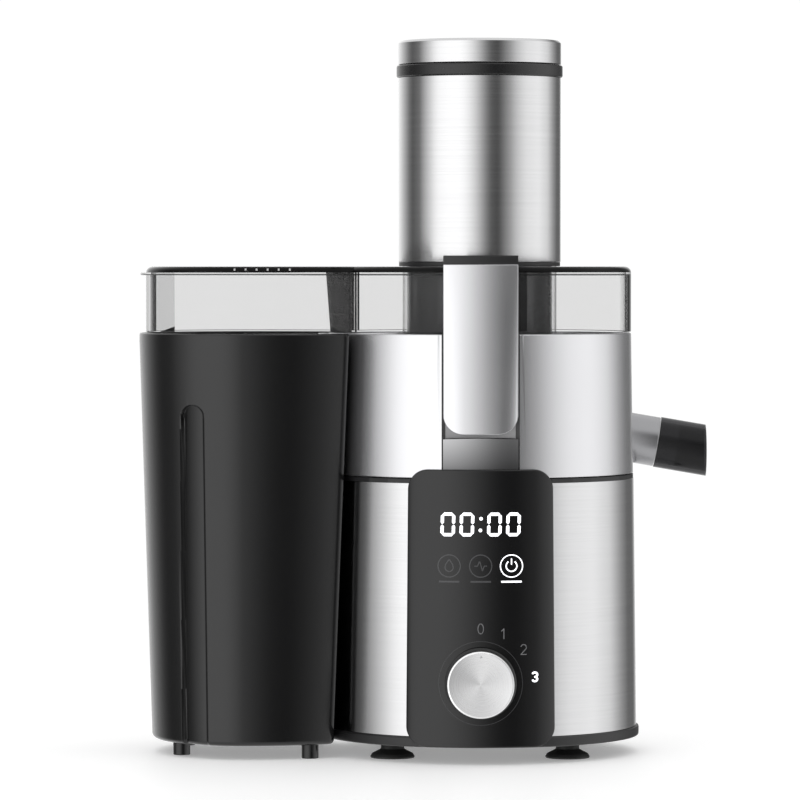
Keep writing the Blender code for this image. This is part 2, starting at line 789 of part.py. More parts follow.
def filter_basket(machine):
    floor, top = BASKET_FLOOR, BASKET_FLOOR + 0.0026
    socket_low = 0.1755
    hub = turned(
        "basket_hub",
        [
            (0, socket_low), (0.0146, socket_low), (0.0146, floor), (0.0208, floor), (0.0208, 0.1745),
            (0.0230, 0.1745), (0.0230, floor), (SCREEN_BOTTOM_RADIUS, floor),
            (SCREEN_BOTTOM_RADIUS, top), (0, top),
        ],
        black_plastic(), machine,
    )
    outline = toothed_outline(0.0116, 0.0094)
    socket = lofted("hub_socket", [ring_at(outline, z) for z in (0.170, 0.1886)], None, machine)
    cut(hub, socket)
    low = top + GAP
    turned(
        "grater_disc",
        [
            (0, low), (0.0485, low), (0.0485, low + 0.0010), (0.0060, low + 0.0010), (0.0045, low + 0.0045),
            (0, low + 0.0045),
        ],
        steel(), machine,
    )
    wall = 0.0008
    turned(
        "filter_screen",
        [
            (SCREEN_BOTTOM_RADIUS + 0.0005, floor + 0.0006),
            (SCREEN_BOTTOM_RADIUS + 0.0005 + wall, floor + 0.0006),
            (SCREEN_TOP_RADIUS + wall, SCREEN_TOP), (SCREEN_TOP_RADIUS, SCREEN_TOP),
        ],
        steel(), machine,
    )
    inner, outer = SCREEN_TOP_RADIUS - 0.0012, SCREEN_TOP_RADIUS + 0.0030
    low, high = SCREEN_TOP + GAP, 0.2428
    rim = [(inner, low), (outer, low), (outer, high), (inner + 0.0010, high), (inner, high - 0.001)]
    turned("basket_rim", rim, black_plastic(), machine)


# ---------------------------------------------------------------- lid and pusher
def clear_lid(machine):
    outline = lid_outline()
    shoulder, roof = LID_TOP - LID_BEVEL, LID_TOP - LID_WALL
    rings = [
        ring_at(inset(outline, LID_BEVEL), LID_TOP), ring_at(outline, shoulder), ring_at(outline, LID_BOTTOM),
        ring_at(inset(outline, LID_WALL), LID_BOTTOM), ring_at(inset(outline, LID_WALL), shoulder - 0.001),
        ring_at(inset(outline, LID_WALL + LID_BEVEL - 0.0014), roof),
    ]
    lid = lofted("clear_lid", rings, clear_plastic(), machine)
    cut(lid, rod("tube_hole", TUBE_OUTER + GAP, LID_TOP - 0.010, LID_TOP + 0.010, machine, Matrix(), STEPS))


def pulp_chute(machine):
    """Smoked cheeks that guide the pulp from the bowl's rim into the bin, hung under the lid."""
    low, high = LID_BOTTOM + GAP, LID_TOP - LID_WALL - GAP
    thick, bridge_half = 0.0018, 0.0365
    path = ((0.0740, 0.0415), (0.0815, 0.0400), (0.0890, 0.0370))
    cheeks = []
    for name, sign in (("pulp_chute", -1), ("chute_back", 1)):
        rings = []
        for reach, half in path:
            outer, inner = sign * half, sign * (half - thick)
            corners = ((outer, low), (outer, high), (inner, high), (inner, low))
            rings.append([Vector((-reach, y, z)) for y, z in corners])
        cheeks.append(lofted(name, rings, smoked_plastic() if sign < 0 else None, machine))
    far = path[-1][0]
    bridge = box(
        "chute_bridge", (-far + 0.0005, -bridge_half, high - 0.0020),
        (-far + 0.0100, bridge_half, high - 0.0004),
        None, machine,
    )
    join(cheeks[0], cheeks[1], bridge)


def feed_tube(machine):
    """Clear tube down into the basket, with a collar, a steel sleeve and a rim round its upper part."""

    def tube(name, inner, outer, low, high, finish, steps=STEPS):
        turned(name, [(inner, low), (outer, low), (outer, high), (inner, high)], finish, machine, steps)

    top = 0.3960
    clear = TUBE_OUTER + GAP
    tube("feed_tube", TUBE_INNER, TUBE_OUTER, TUBE_BOTTOM, top, clear_plastic())
    tube("tube_collar", clear, 0.0470, LID_TOP + GAP, SLEEVE_BOTTOM - GAP, black_plastic())
    tube("tube_sleeve", SLEEVE_RADIUS - 0.001, SLEEVE_RADIUS, SLEEVE_BOTTOM, SLEEVE_TOP, brushed_steel(), 48)
    low = SLEEVE_TOP + GAP
    turned(
        "tube_rim",
        [
            (clear, low), (RIM_RING_RADIUS, low), (RIM_RING_RADIUS, RIM_RING_TOP), (TUBE_INNER, RIM_RING_TOP),
            (TUBE_INNER, top + GAP), (clear, top + GAP),
        ],
        black_plastic(), machine,
    )


def pusher(machine):
    """Hollow plunger open at the top, closed by a steel cap that drops over it."""
    wall, corner = 0.0022, 0.003
    low, roof = RIM_RING_TOP + 2 * GAP, CAP_TOP - CAP_WALL
    turned(
        "pusher_body",
        [
            (0, PUSHER_BOTTOM), (PUSHER_RADIUS - corner, PUSHER_BOTTOM),
            (PUSHER_RADIUS, PUSHER_BOTTOM + corner),
            (PUSHER_RADIUS, roof - GAP), (PUSHER_RADIUS - wall, roof - GAP),
            (PUSHER_RADIUS - wall, PUSHER_BOTTOM + 0.004), (0, PUSHER_BOTTOM + 0.004),
        ],
        smoked_plastic(), machine,
    )
    turned(
        "pusher_cap",
        [
            (0, roof), (CAP_RADIUS - CAP_WALL, roof), (CAP_RADIUS - CAP_WALL, low), (CAP_RADIUS, low),
            (CAP_RADIUS, roof), (CAP_RADIUS - CAP_WALL, CAP_TOP), (0, CAP_TOP),
        ],
        brushed_steel(), machine,
    )


# ---------------------------------------------------------------- latches
def latch_tower(frame, side):
    """Post that stands in the bowl's channel and carries the latch's pivot pin."""
    low, front, back = DECK_TOP + GAP, DECK_RADIUS - 0.0003, 0.0790
    tower = curved_plate(
        f"latch_tower_{side}", math.radians(13.8), lambda _: low, lambda _: 0.1900,
        lambda _: back, lambda _: front, silver_plastic(), frame, columns=10,
    )
    scoop = rod(f"tower_scoop_{side}", SCOOP_RADIUS, -0.030, 0.030, frame, pivot_place(), 40)
    trim = box(
        f"tower_scoop_trim_{side}", (-0.030, -0.100, PIVOT_Z - 0.0135), (0.030, -0.0795, 0.240), None, frame
    )
    cut(tower, scoop, trim)
    lug_half, boss = 0.0105, 0.0042
    plate = box(f"tower_plate_{side}", (-0.0200, -back, low), (0.0200, -0.0756, 0.2095), None, frame)
    lug = box(
        f"tower_lug_{side}", (-lug_half, -PIVOT_Y, PIVOT_Z - boss), (lug_half, -0.0780, PIVOT_Z + boss),
        None, frame
    )
    barrel = rod(f"tower_boss_{side}", boss + 0.0001, -lug_half, lug_half, frame, pivot_place(), 20)
    join(tower, plate, lug, barrel)
    cut(tower, rod(f"tower_bore_{side}", 0.0022, -0.030, 0.030, frame, pivot_place(), 16))
    rod(f"latch_pin_{side}", 0.0019, -0.0172, 0.0172, frame, pivot_place(), 16, steel())


def pivot_place():
    return lathe_place((0, -PIVOT_Y, PIVOT_Z), (1, 0, 0))


def latch(frame, side):
    """Lever that swings outwards on the tower's pin; its black top bears on the lid's flat."""
    joint = empty(f"latch_{side}_pivot", frame, (0, -PIVOT_Y, PIVOT_Z))
    half_width = LATCH_ANGLE * LATCH_OUTER
    low = rounded_edge(LATCH_BOTTOM, 0.0115, half_width, 1)
    curved_plate(
        f"latch_skin_{side}", LATCH_ANGLE, low, lambda _: SKIN_TOP, lambda _: LATCH_OUTER - 0.0022,
        lambda _: LATCH_OUTER, silver_plastic(), frame, columns=16, joint=joint,
    )
    back, front, narrow = -LID_FLAT - 0.0005, -0.0884, 0.0190
    arm = box(
        f"latch_arm_{side}", (-narrow, front, PIVOT_Z + 0.0085), (narrow, back, SKIN_TOP + 0.002),
        black_plastic(), frame, joint,
    )
    head = curved_plate(
        f"latch_head_{side}", LATCH_ANGLE, lambda _: SKIN_TOP + GAP, lambda _: LATCH_TOP, lambda _: 0.0874,
        lambda _: LATCH_OUTER, None, frame, columns=12, joint=joint,
    )
    lip = box(
        f"latch_lip_{side}", (-narrow, -0.0890, SKIN_TOP + 0.0005), (narrow, back, LATCH_TOP - 0.0004), None,
        frame, joint,
    )
    join(arm, head, lip)
    for hand, sign in (("left", -1), ("right", 1)):
        inner, outer = sorted((sign * 0.0115, sign * 0.0168))
        eye = rod(f"latch_eye_{hand}_{side}", 0.0043, inner, outer, frame, pivot_place(), 20, joint=joint)
        neck = box(
            f"latch_neck_{hand}_{side}", (inner, -0.0882, PIVOT_Z + 0.0005),
            (outer, -0.0806, PIVOT_Z + 0.0120),
            None, frame, joint,
        )
        join(arm, eye, neck)
    cut(arm, rod(f"latch_bore_{side}", 0.0022, -0.030, 0.030, frame, pivot_place(), 16, joint=joint))


# ---------------------------------------------------------------- knob and bin
def knob(machine):
    joint = empty("knob_axis", machine, (0, -KNOB_FACE, KNOB_Z))
    place = along_y(0, KNOB_Z)
    face, back, bevel = -KNOB_FACE, -0.0970, 0.0010
    cap = [
        (0, face), (KNOB_RADIUS - bevel, face), (KNOB_RADIUS, face + bevel), (KNOB_RADIUS, back), (0, back),
    ]
    turned("knob_cap", cap, aluminium(), machine, 40, place, joint)
    flange, spindle, seat = KNOB_RADIUS + 0.0012, 0.0038, -0.0946
    body = [
        (0, back + GAP), (flange, back + GAP), (flange, seat),
        (spindle, seat), (spindle, -0.0806), (0, -0.0806),
    ]
    turned("knob_body", body, black_plastic(), machine, 40, place, joint)


def pulp_bin(machine):
    levels = (0.100, 0.191, 0.198, FLUTE_TOP, BIN_TOP)
    bottom = inset(bin_outline(BIN_FLOOR), 0.003)
    outer = [ring_at(bottom, BIN_FLOOR)]
    outer += [ring_at(bin_outline(z), z) for z in (BIN_FLOOR + 0.003, *levels)]
    inner = [ring_at(inset(bin_outline(z), BIN_WALL), z) for z in reversed(levels)]
    inner.append(ring_at(inset(bin_outline(BIN_FLOOR), BIN_WALL + 0.001), BIN_FLOOR + BIN_WALL))
    pulp = lofted("pulp_bin", outer + inner, black_plastic(), machine)
    for i, (x, y) in enumerate(((-0.173, -0.0295), (-0.173, 0.0295), (-0.098, -0.0500), (-0.098, 0.0500))):
        place = Matrix.Translation((x, y, 0))
        join(pulp, rod(f"bin_peg_{i + 1}", 0.0050, 0.0, BIN_FLOOR + 0.0015, machine, place, 16))


# ---------------------------------------------------------------- assembly
def build():
    clear_scene()
    axis = ((BIN_LEFT - SPOUT_TIP) / 2, (KNOB_FACE - GLAND_END) / 2, 0)
    machine = empty("motor_axis", location=axis)
    base_tray(machine)
    feet(machine)
    base_screws(machine)
    motor_housing(machine)
    motor_skirt(machine)
    body_shell(machine)
    control_panel(machine)
    electronics(machine)
    cord_gland(machine)
    stator(machine)
    brackets(machine)
    rotor(machine)
    juice_bowl(machine)
    bowl_ledge(machine)
    spout_stub(machine)
    spout_nozzle(machine)
    bowl_seal(machine)
    filter_basket(machine)
    clear_lid(machine)
    pulp_chute(machine)
    feed_tube(machine)
    pusher(machine)
    for side, turn in (("front", 0.0), ("back", math.pi)):
        frame = empty(f"{side}_frame", machine, turn=turn)
        latch_tower(frame, side)
        latch(frame, side)
    knob(machine)
    pulp_bin(machine)


build()
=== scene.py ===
"""Looks of the centrifugal juicer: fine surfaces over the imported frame, materials, floor, light and camera.

Metres, in the frame's coordinates: +Z up, front towards -Y. Pieces are shaped about the motor axis and
then moved to AXIS.
"""

import itertools
import json
import math

import bmesh
import bpy
from mathutils import Matrix, Vector


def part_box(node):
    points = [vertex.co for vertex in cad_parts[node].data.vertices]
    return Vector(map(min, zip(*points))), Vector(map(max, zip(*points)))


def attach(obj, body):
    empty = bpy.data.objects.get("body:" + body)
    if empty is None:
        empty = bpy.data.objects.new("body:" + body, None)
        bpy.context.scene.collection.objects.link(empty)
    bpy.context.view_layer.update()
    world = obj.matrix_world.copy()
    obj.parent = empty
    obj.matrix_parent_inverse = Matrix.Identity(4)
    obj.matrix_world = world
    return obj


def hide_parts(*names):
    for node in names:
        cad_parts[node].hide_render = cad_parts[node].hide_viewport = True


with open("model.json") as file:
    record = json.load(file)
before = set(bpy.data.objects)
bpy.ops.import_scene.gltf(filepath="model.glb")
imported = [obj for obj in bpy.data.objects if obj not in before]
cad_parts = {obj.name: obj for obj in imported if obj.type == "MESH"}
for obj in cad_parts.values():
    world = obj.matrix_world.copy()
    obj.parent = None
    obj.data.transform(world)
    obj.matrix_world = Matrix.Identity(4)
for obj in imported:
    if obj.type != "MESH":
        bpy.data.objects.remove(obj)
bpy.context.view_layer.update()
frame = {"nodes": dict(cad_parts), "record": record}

NODES = frame["nodes"]
shaft_low, shaft_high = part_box("motor_shaft")
AXIS = Vector(((shaft_low.x + shaft_high.x) / 2, (shaft_low.y + shaft_high.y) / 2, 0))

ROUND = 160  # segments of a large round piece
SMALL_ROUND = 64
TINY_ROUND = 24
NEARLY_STRAIGHT = math.radians(172)  # a corner this flat isn't rounded
EDGE_RADIUS = 0.09  # rough radius of every curved plate, for the width of its rounded ends

# Heights and radii that the fine surfaces share with the frame.
BASE_BOTTOM, RIM_TOP, RIM_RADIUS = 0.0098, 0.0154, 0.0933
SHELL_TOP, SHELL_BOTTOM_RADIUS, SHELL_TOP_RADIUS = 0.1586, 0.0918, 0.0895
DECK_TOP, DECK_RADIUS = 0.1622, 0.0899
PANEL_ANGLE, PANEL_TOP, PANEL_WALL = math.radians(26.9), 0.1680, 0.0025
BOWL_BOTTOM, BOWL_TOP, BOWL_BOTTOM_RADIUS, BOWL_TOP_RADIUS, BOWL_WALL = 0.1628, 0.2447, 0.0898, 0.0886, 0.0025
CHANNEL_HALF, CHANNEL_FLOOR, CHIMNEY_RADIUS = 0.0222, 0.0750, 0.0165
SPOUT_ANGLE, SPOUT_X, SPOUT_Z = math.radians(9.7), 0.0895, 0.1832
SPOUT_RADIUS, SPOUT_BORE, STUB_LENGTH, SPOUT_TIP = 0.0144, 0.0108, 0.0142, 0.1322
LID_BOTTOM, LID_TOP, LID_WALL, LID_RADIUS, LID_FLAT = 0.2452, 0.2833, 0.0024, 0.0886, 0.0846
TUBE_BOTTOM, TUBE_OUTER, TUBE_INNER = 0.2010, 0.0450, 0.0426
SLEEVE_RADIUS, SLEEVE_BOTTOM, SLEEVE_TOP = 0.0474, 0.2860, 0.3934
RING_TOP, RING_RADIUS = 0.4005, 0.0485
PUSHER_RADIUS, PUSHER_BOTTOM, CAP_RADIUS, CAP_TOP = 0.0418, 0.2035, 0.0476, 0.4148
PIVOT_Y, PIVOT_Z, SCOOP_RADIUS = 0.0845, 0.2030, 0.0181
LATCH_OUTER, LATCH_ANGLE, LATCH_BOTTOM = 0.0932, math.radians(13.2), 0.1880
SKIN_TOP, LATCH_TOP = 0.2843, 0.2895
KNOB_Z, KNOB_RADIUS, KNOB_FACE = 0.0468, 0.0190, 0.1060
BIN_X, BIN_FLOOR, BIN_TOP, BIN_WALL = -0.1360, 0.0080, 0.2447, 0.0025
BIN_LEFT_RADII, BIN_RIGHT_RADII = (0.0556, 0.0630), (0.0845, 0.0970)
BIN_DEPTHS, BIN_ARC_RADII = (0.0655, 0.0727), (0.0972, 0.0920)
COVER_INSET = 0.0040
FLUTE_LEFT_TURNS, FLUTE_RIGHT_TURN = (math.radians(130), math.radians(125)), math.radians(111)
FLUTE_TOP, FLUTE_ROUNDING, FLUTE_SIDE, FLUTE_SHALLOW, FLUTE_DEEP = 0.2040, 0.0065, 0.17, 0.0011, 0.0030
GAP = 0.0003


# ---------------------------------------------------------------- materials
PATTERN_RANGE = (0.3, 0.7)  # the part of a noise pattern's 0..1 that it mostly stays in
FLAKES = (5200, 5200, 5200)  # metal flakes per metre in the lacquer


class Nodes:
    """A node tree, with short ways to add nodes and join them."""

    def __init__(self, tree):
        self.tree = tree

    def feed(self, socket, source):
        """Gives a socket a constant, or links it to a node's output."""
        if isinstance(source, bpy.types.NodeSocket):
            self.tree.links.new(source, socket)
        else:
            socket.default_value = source

    def node(self, kind, inputs=None, **settings):
        """A new node; inputs says by name or number what feeds each socket."""
        made = self.tree.nodes.new(kind)
        for key, value in settings.items():
            setattr(made, key, value)
        for key, source in (inputs or {}).items():
            self.feed(made.inputs[key], source)
        return made

    def calc(self, operation, *sources):
        return self.node("ShaderNodeMath", dict(enumerate(sources)), operation=operation).outputs[0]

    def ramp(self, source, start, end, low=0.0, high=1.0, kind="LINEAR"):
        """Maps start..end to low..high and holds the values beyond."""
        sockets = {"From Min": start, "From Max": end, "To Min": low, "To Max": high, "Value": source}
        return self.node("ShaderNodeMapRange", sockets, interpolation_type=kind).outputs["Result"]

    def either(self, share, first, second):
        """A mix of two shaders: the first where share is 0."""
        return self.node("ShaderNodeMixShader", {0: share, 1: first, 2: second}).outputs[0]


class Finish(Nodes):
    """A Principled material with helpers that add its pattern nodes."""

    def __init__(self, name, colour, roughness, metallic=0.0, **extra):
        self.material = bpy.data.materials.new(name)
        self.material.use_nodes = True
        super().__init__(self.material.node_tree)
        self.shader = self.tree.nodes["Principled BSDF"]
        self.put("Base Color", (*colour, 1.0))
        self.put("Roughness", roughness)
        self.put("Metallic", metallic)
        for socket, value in extra.items():
            self.put(socket.replace("_", " "), value)

    def put(self, socket, source):
        self.feed(self.shader.inputs[socket], source)

    def finish_with(self, shader):
        self.feed(self.tree.nodes["Material Output"].inputs["Surface"], shader)

    def place(self, scale, centre=AXIS):
        """Object coordinates about centre, scaled along each axis."""
        coordinates = self.node("ShaderNodeTexCoord").outputs["Object"]
        shift = self.node("ShaderNodeVectorMath", {0: coordinates, 1: centre}, operation="SUBTRACT")
        grow = self.node("ShaderNodeVectorMath", {0: shift.outputs[0], 1: scale}, operation="MULTIPLY")
        return grow.outputs[0]

    def noise(self, scale, detail=3.0):
        sockets = {"Scale": 1.0, "Detail": detail, "Vector": self.place(scale)}
        return self.node("ShaderNodeTexNoise", sockets).outputs["Fac"]

    def spread(self, source, low, high):
        """Maps a pattern's middle range to low..high."""
        return self.ramp(source, *PATTERN_RANGE, low, high)

    def rough(self, source, low, high):
        self.put("Roughness", self.spread(source, low, high))

    def tint(self, source, first, second):
        sockets = {"A": (*first, 1.0), "B": (*second, 1.0), "Factor": source}
        self.put("Base Color", self.node("ShaderNodeMix", sockets, data_type="RGBA").outputs["Result"])

    def bump(self, source, strength, distance):
        made = self.node("ShaderNodeBump", {"Strength": strength, "Distance": distance, "Height": source})
        self.put("Normal", made.outputs["Normal"])

    def brushed_about(self, axis):
        tangent = self.node("ShaderNodeTangent", direction_type="RADIAL", axis=axis)
        self.put("Tangent", tangent.outputs[0])

    def see_through(self, clear, edge, colour):
        """Mixes in a Transparent shader: clear face on, edge at a grazing angle."""
        facing = self.node("ShaderNodeLayerWeight", {"Blend": 0.35}).outputs["Facing"]
        share = self.ramp(facing, 0.55, 0.92, clear, edge)
        glass = self.node("ShaderNodeBsdfTransparent", {"Color": (*colour, 1.0)})
        self.finish_with(self.either(share, glass.outputs[0], self.shader.outputs[0]))


def shades(colour, *factors):
    """The colour made darker or lighter by each factor, up to white."""
    return [tuple(min(1.0, factor * c) for c in colour) for factor in factors]


def brushed_steel():
    made = Finish("brushed_steel", (0.60, 0.60, 0.605), 0.15, 1.0, Anisotropic=0.4, Anisotropic_Rotation=0.25)
    streaks = made.noise((14, 14, 1500), 4.0)
    clouds = made.noise((25, 25, 9), 2.0)
    made.tint(streaks, (0.56, 0.56, 0.565), (0.66, 0.66, 0.665))
    sheen = made.calc("ADD", made.spread(streaks, 0.12, 0.18), made.spread(clouds, -0.01, 0.03))
    made.put("Roughness", sheen)
    made.bump(streaks, 0.06, 0.00005)
    made.brushed_about("Z")
    return made.material


def silver_paint(name="silver_paint", colour=(0.67, 0.67, 0.685)):
    """Metallic lacquer on plastic: fine flakes under a thin clear coat."""
    made = Finish(name, colour, 0.24, 0.94, Coat_Weight=0.2, Coat_Roughness=0.10)
    flakes = made.noise(FLAKES, 1.0)
    made.tint(flakes, *shades(colour, 0.97, 1.03))
    made.rough(made.noise((9, 9, 16), 2.0), 0.22, 0.26)
    made.bump(flakes, 0.02, 0.00001)
    return made.material


def scoop_painted_shade():
    """The lacquer inside the finger scoop, with painted shade that makes it darker towards the deck."""
    made = Finish("scoop_painted_shade", (0.30, 0.30, 0.305), 0.28, 0.94)
    height = made.node("ShaderNodeSeparateXYZ", {0: made.place((1, 1, 1))}).outputs["Z"]
    rise = made.ramp(height, PANEL_TOP - 0.004, LATCH_BOTTOM + 0.001)
    made.tint(rise, (0.10, 0.10, 0.102), (0.46, 0.46, 0.467))
    made.bump(made.noise(FLAKES, 1.0), 0.02, 0.00001)
    return made.material


def moulded(name, colour, roughness, depth=0.10):
    """Moulded plastic with a spark-eroded grain."""
    made = Finish(name, colour, roughness)
    grain = made.noise((1100, 1100, 1100))
    made.tint(made.noise((28, 28, 28), 2.0), *shades(colour, 0.86, 1.18))
    made.rough(grain, roughness - 0.05, roughness + 0.06)
    made.bump(grain, depth, 0.00006)
    return made.material


def gloss_panel():
    made = Finish("gloss_panel", (0.0045, 0.0045, 0.0048), 0.17, Specular_IOR_Level=0.45)
    made.rough(made.noise((30, 30, 14), 4.0), 0.15, 0.20)
    made.tint(made.noise((900, 900, 900), 1.0), (0.0035, 0.0035, 0.0038), (0.0055, 0.0055, 0.0058))
    return made.material


def clear_plastic(name, clear, edge, colour, body, gloss=0.5):
    """Clear or tinted plastic: body is its own colour, and colour what it does to light passing through."""
    made = Finish(name, body, 0.06, Specular_IOR_Level=gloss)
    flow = made.noise((18, 18, 30), 2.0)
    made.rough(flow, 0.04, 0.10)
    made.bump(flow, 0.02, 0.0002)
    made.see_through(clear, edge, colour)
    return made.material


def smoked_plastic():
    made = Finish("smoked_plastic", (0.008, 0.008, 0.009), 0.10)
    made.rough(made.noise((30, 30, 20), 2.0), 0.07, 0.14)
    made.see_through(0.45, 0.95, (0.26, 0.26, 0.27))
    return made.material


def soft_rubber():
    made = Finish("soft_rubber", (0.016, 0.016, 0.016), 0.62)
    fine = made.noise((900, 900, 900))
    made.rough(fine, 0.52, 0.72)
    made.bump(fine, 0.15, 0.00008)
    return made.material


def spun_aluminium_painted_highlight():
    """Turned face with rings about the knob's axis, made lighter in three wedges by a painted highlight."""
    made = Finish("spun_aluminium_painted_highlight", (0.74, 0.74, 0.745), 0.30, 1.0, Anisotropic=0.88)
    spot = made.place((1, 0, 1), (AXIS.x, AXIS.y, KNOB_Z))
    length = made.node("ShaderNodeVectorMath", {0: spot}, operation="LENGTH").outputs["Value"]
    sockets = {"Scale": 2600.0, "Detail": 3.0, "W": length}
    rings = made.node("ShaderNodeTexNoise", sockets, noise_dimensions="1D").outputs["Fac"]
    split = made.node("ShaderNodeSeparateXYZ", {0: spot}).outputs
    turn = made.calc("ARCTAN2", split["X"], split["Z"])
    painted_highlight = made.calc("COSINE", made.calc("MULTIPLY", turn, 3.0))
    # Painted highlight: the three wedges are tinted lighter, together with the rings.
    made.tint(made.calc("MULTIPLY_ADD", painted_highlight, 0.35, rings), (0.78, 0.78, 0.785), (0.99, 0.99, 0.995))
    made.rough(rings, 0.26, 0.34)
    made.bump(rings, 0.02, 0.00002)
    made.brushed_about("Y")
    return made.material


def printed(name, colour, strength):
    """Lit or printed mark: a soft paint that glows a little."""
    made = Finish(name, colour, 0.4, Emission_Strength=strength, Emission_Color=(*colour, 1.0))
    made.tint(made.noise((1500, 1500, 1500), 1.0), *shades(colour, 0.94, 1.0))
    return made.material


def perforated_steel():
    """Thin steel with rows of small holes, drawn as dark dots with a raised edge."""
    made = Finish("perforated_steel", (0.58, 0.59, 0.60), 0.24, 1.0)
    sockets = {"Scale": 1.0, "Randomness": 0.0, "Vector": made.place((640, 640, 640))}
    dots = made.node("ShaderNodeTexVoronoi", sockets).outputs["Distance"]
    hole = made.ramp(dots, 0.26, 0.34)
    made.tint(hole, (0.03, 0.03, 0.03), (0.60, 0.61, 0.62))
    made.put("Metallic", hole)
    made.bump(hole, 0.5, 0.0003)
    return made.material


def bare_metal(name, colour, roughness, scale=(60, 60, 700)):
    made = Finish(name, colour, roughness, 1.0)
    marks = made.noise(scale, 4.0)
    made.tint(marks, *shades(colour, 0.80, 1.10))
    made.rough(marks, roughness - 0.07, roughness + 0.10)
    made.bump(marks, 0.12, 0.00008)
    return made.material


def wound_copper():
    """Enamelled wire laid in turns along Z."""
    made = Finish("wound_copper", (0.50, 0.20, 0.08), 0.30, 0.85, Coat_Weight=0.6, Coat_Roughness=0.15)
    sockets = {"Scale": 1.0, "Distortion": 0.6, "Vector": made.place((300, 300, 300))}
    wave = made.node("ShaderNodeTexWave", sockets, wave_type="BANDS", bands_direction="Z").outputs["Fac"]
    made.tint(wave, (0.30, 0.10, 0.035), (0.62, 0.27, 0.11))
    made.bump(wave, 0.6, 0.0003)
    return made.material


def circuit_green():
    made = Finish("circuit_green", (0.015, 0.14, 0.05), 0.35, Coat_Weight=0.5, Coat_Roughness=0.1)
    upright = {"Rotation": (math.pi / 2, 0, 0), "Vector": made.place((260, 260, 260))}
    sockets = {
        "Scale": 1.0, "Color1": (0.015, 0.14, 0.05, 1), "Color2": (0.02, 0.19, 0.07, 1),
        "Mortar": (0.05, 0.30, 0.12, 1), "Mortar Size": 0.06,
        "Vector": made.node("ShaderNodeMapping", upright).outputs[0],
    }
    tracks = made.node("ShaderNodeTexBrick", sockets)
    made.put("Base Color", tracks.outputs["Color"])
    made.bump(tracks.outputs["Fac"], 0.2, 0.0001)
    return made.material


STEEL = brushed_steel()
SILVER = silver_paint()
# A darker copy of the silver lacquer: painted shade for the spout stub.
SILVER_PAINTED_SHADE = silver_paint("silver_painted_shade", (0.33, 0.33, 0.34))
# A very dark silver: painted shade for the walls of the latch channel.
CHANNEL_PAINTED_SHADE = silver_paint("channel_painted_shade", (0.10, 0.10, 0.102))
SCOOP_PAINTED_SHADE = scoop_painted_shade()
BIN_BLACK = moulded("bin_black", (0.0048, 0.0048, 0.0050), 0.20, 0.012)
BLACK = moulded("black_moulding", (0.010, 0.010, 0.0105), 0.40)
# Near-black paint for a painted shadow round the knob, where the gap between knob and panel falls in shade.
KNOB_PAINTED_SHADOW = moulded("knob_painted_shadow", (0.0015, 0.0015, 0.0016), 0.60, 0.02)
PANEL = gloss_panel()
CLEAR = clear_plastic("clear_plastic", 0.05, 0.80, (0.965, 0.965, 0.965), (0.10, 0.10, 0.10))
# A dark tint for the clear lid: painted shade along its roof edge and right-hand side.
CLEAR_PAINTED_SHADE_EDGE = clear_plastic("clear_painted_shade_edge", 0.92, 0.98, (0.12, 0.12, 0.12), (0.004, 0.004, 0.004), 0.10)
# A grey tint: painted shade in bands along the lid's lip and foot.
CLEAR_PAINTED_SHADE_RIM = clear_plastic("clear_painted_shade_rim", 0.40, 0.90, (0.60, 0.60, 0.60), (0.02, 0.02, 0.02))
CLEAR_RIB = clear_plastic("clear_rib", 0.10, 0.85, (0.93, 0.93, 0.93), (0.20, 0.20, 0.20))
CLEAR_WEB = clear_plastic("clear_web", 0.06, 0.10, (0.90, 0.90, 0.90), (0.30, 0.30, 0.30))
TICK_WHITE = clear_plastic("tick_white", 0.90, 0.95, (0.90, 0.90, 0.90), (0.60, 0.60, 0.60))
SMOKED = smoked_plastic()
CHUTE_GREY = clear_plastic("chute_grey", 0.74, 0.92, (0.60, 0.60, 0.60), (0.032, 0.032, 0.032))
PUSHER_BLACK = moulded("pusher_black", (0.008, 0.008, 0.0085), 0.28, 0.03)
PUSHER_GREY = moulded("pusher_grey", (0.115, 0.115, 0.117), 0.25, 0.03)
RUBBER = soft_rubber()
SPUN_PAINTED_HIGHLIGHT = spun_aluminium_painted_highlight()
WHITE_LIT = printed("lit_white", (0.95, 0.96, 1.0), 1.1)
WHITE_DIM = printed("dim_grey", (0.055, 0.055, 0.058), 0.05)
DIAL_GREY = printed("dial_grey", (0.16, 0.16, 0.165), 0.12)
# A faint light line: a painted highlight for the edge of the shallow dish round the knob.
DISH_EDGE_HIGHLIGHT = printed("dish_edge_highlight", (0.035, 0.035, 0.037), 0.02)
PERFORATED = perforated_steel()
PLAIN_STEEL = bare_metal("plain_steel", (0.52, 0.53, 0.55), 0.30)
CAST_ALUMINIUM = bare_metal("cast_aluminium", (0.66, 0.66, 0.67), 0.42, (240, 240, 240))
COPPER = wound_copper()
BOARD = circuit_green()

FINISHES = {
    "brushed_steel": STEEL, "silver_plastic": SILVER, "black_plastic": BLACK, "gloss_black": PANEL,
    "clear_plastic": CLEAR, "smoked_plastic": SMOKED, "rubber": RUBBER, "aluminium": CAST_ALUMINIUM,
    "copper": COPPER, "circuit_board": BOARD, "steel": PLAIN_STEEL,
}
SLOT_OF = {entry["node"]: entry["material_slot"] for entry in frame["record"]["subparts"]}

for node_name, node in NODES.items():
    node.data.materials.clear()
    node.data.materials.append(FINISHES[SLOT_OF[node_name]])
    node.data.shade_smooth()
    node.data.set_sharp_from_angle(angle=math.radians(35))
    if node_name.startswith("latch_arm"):
        node.visible_glossy = False


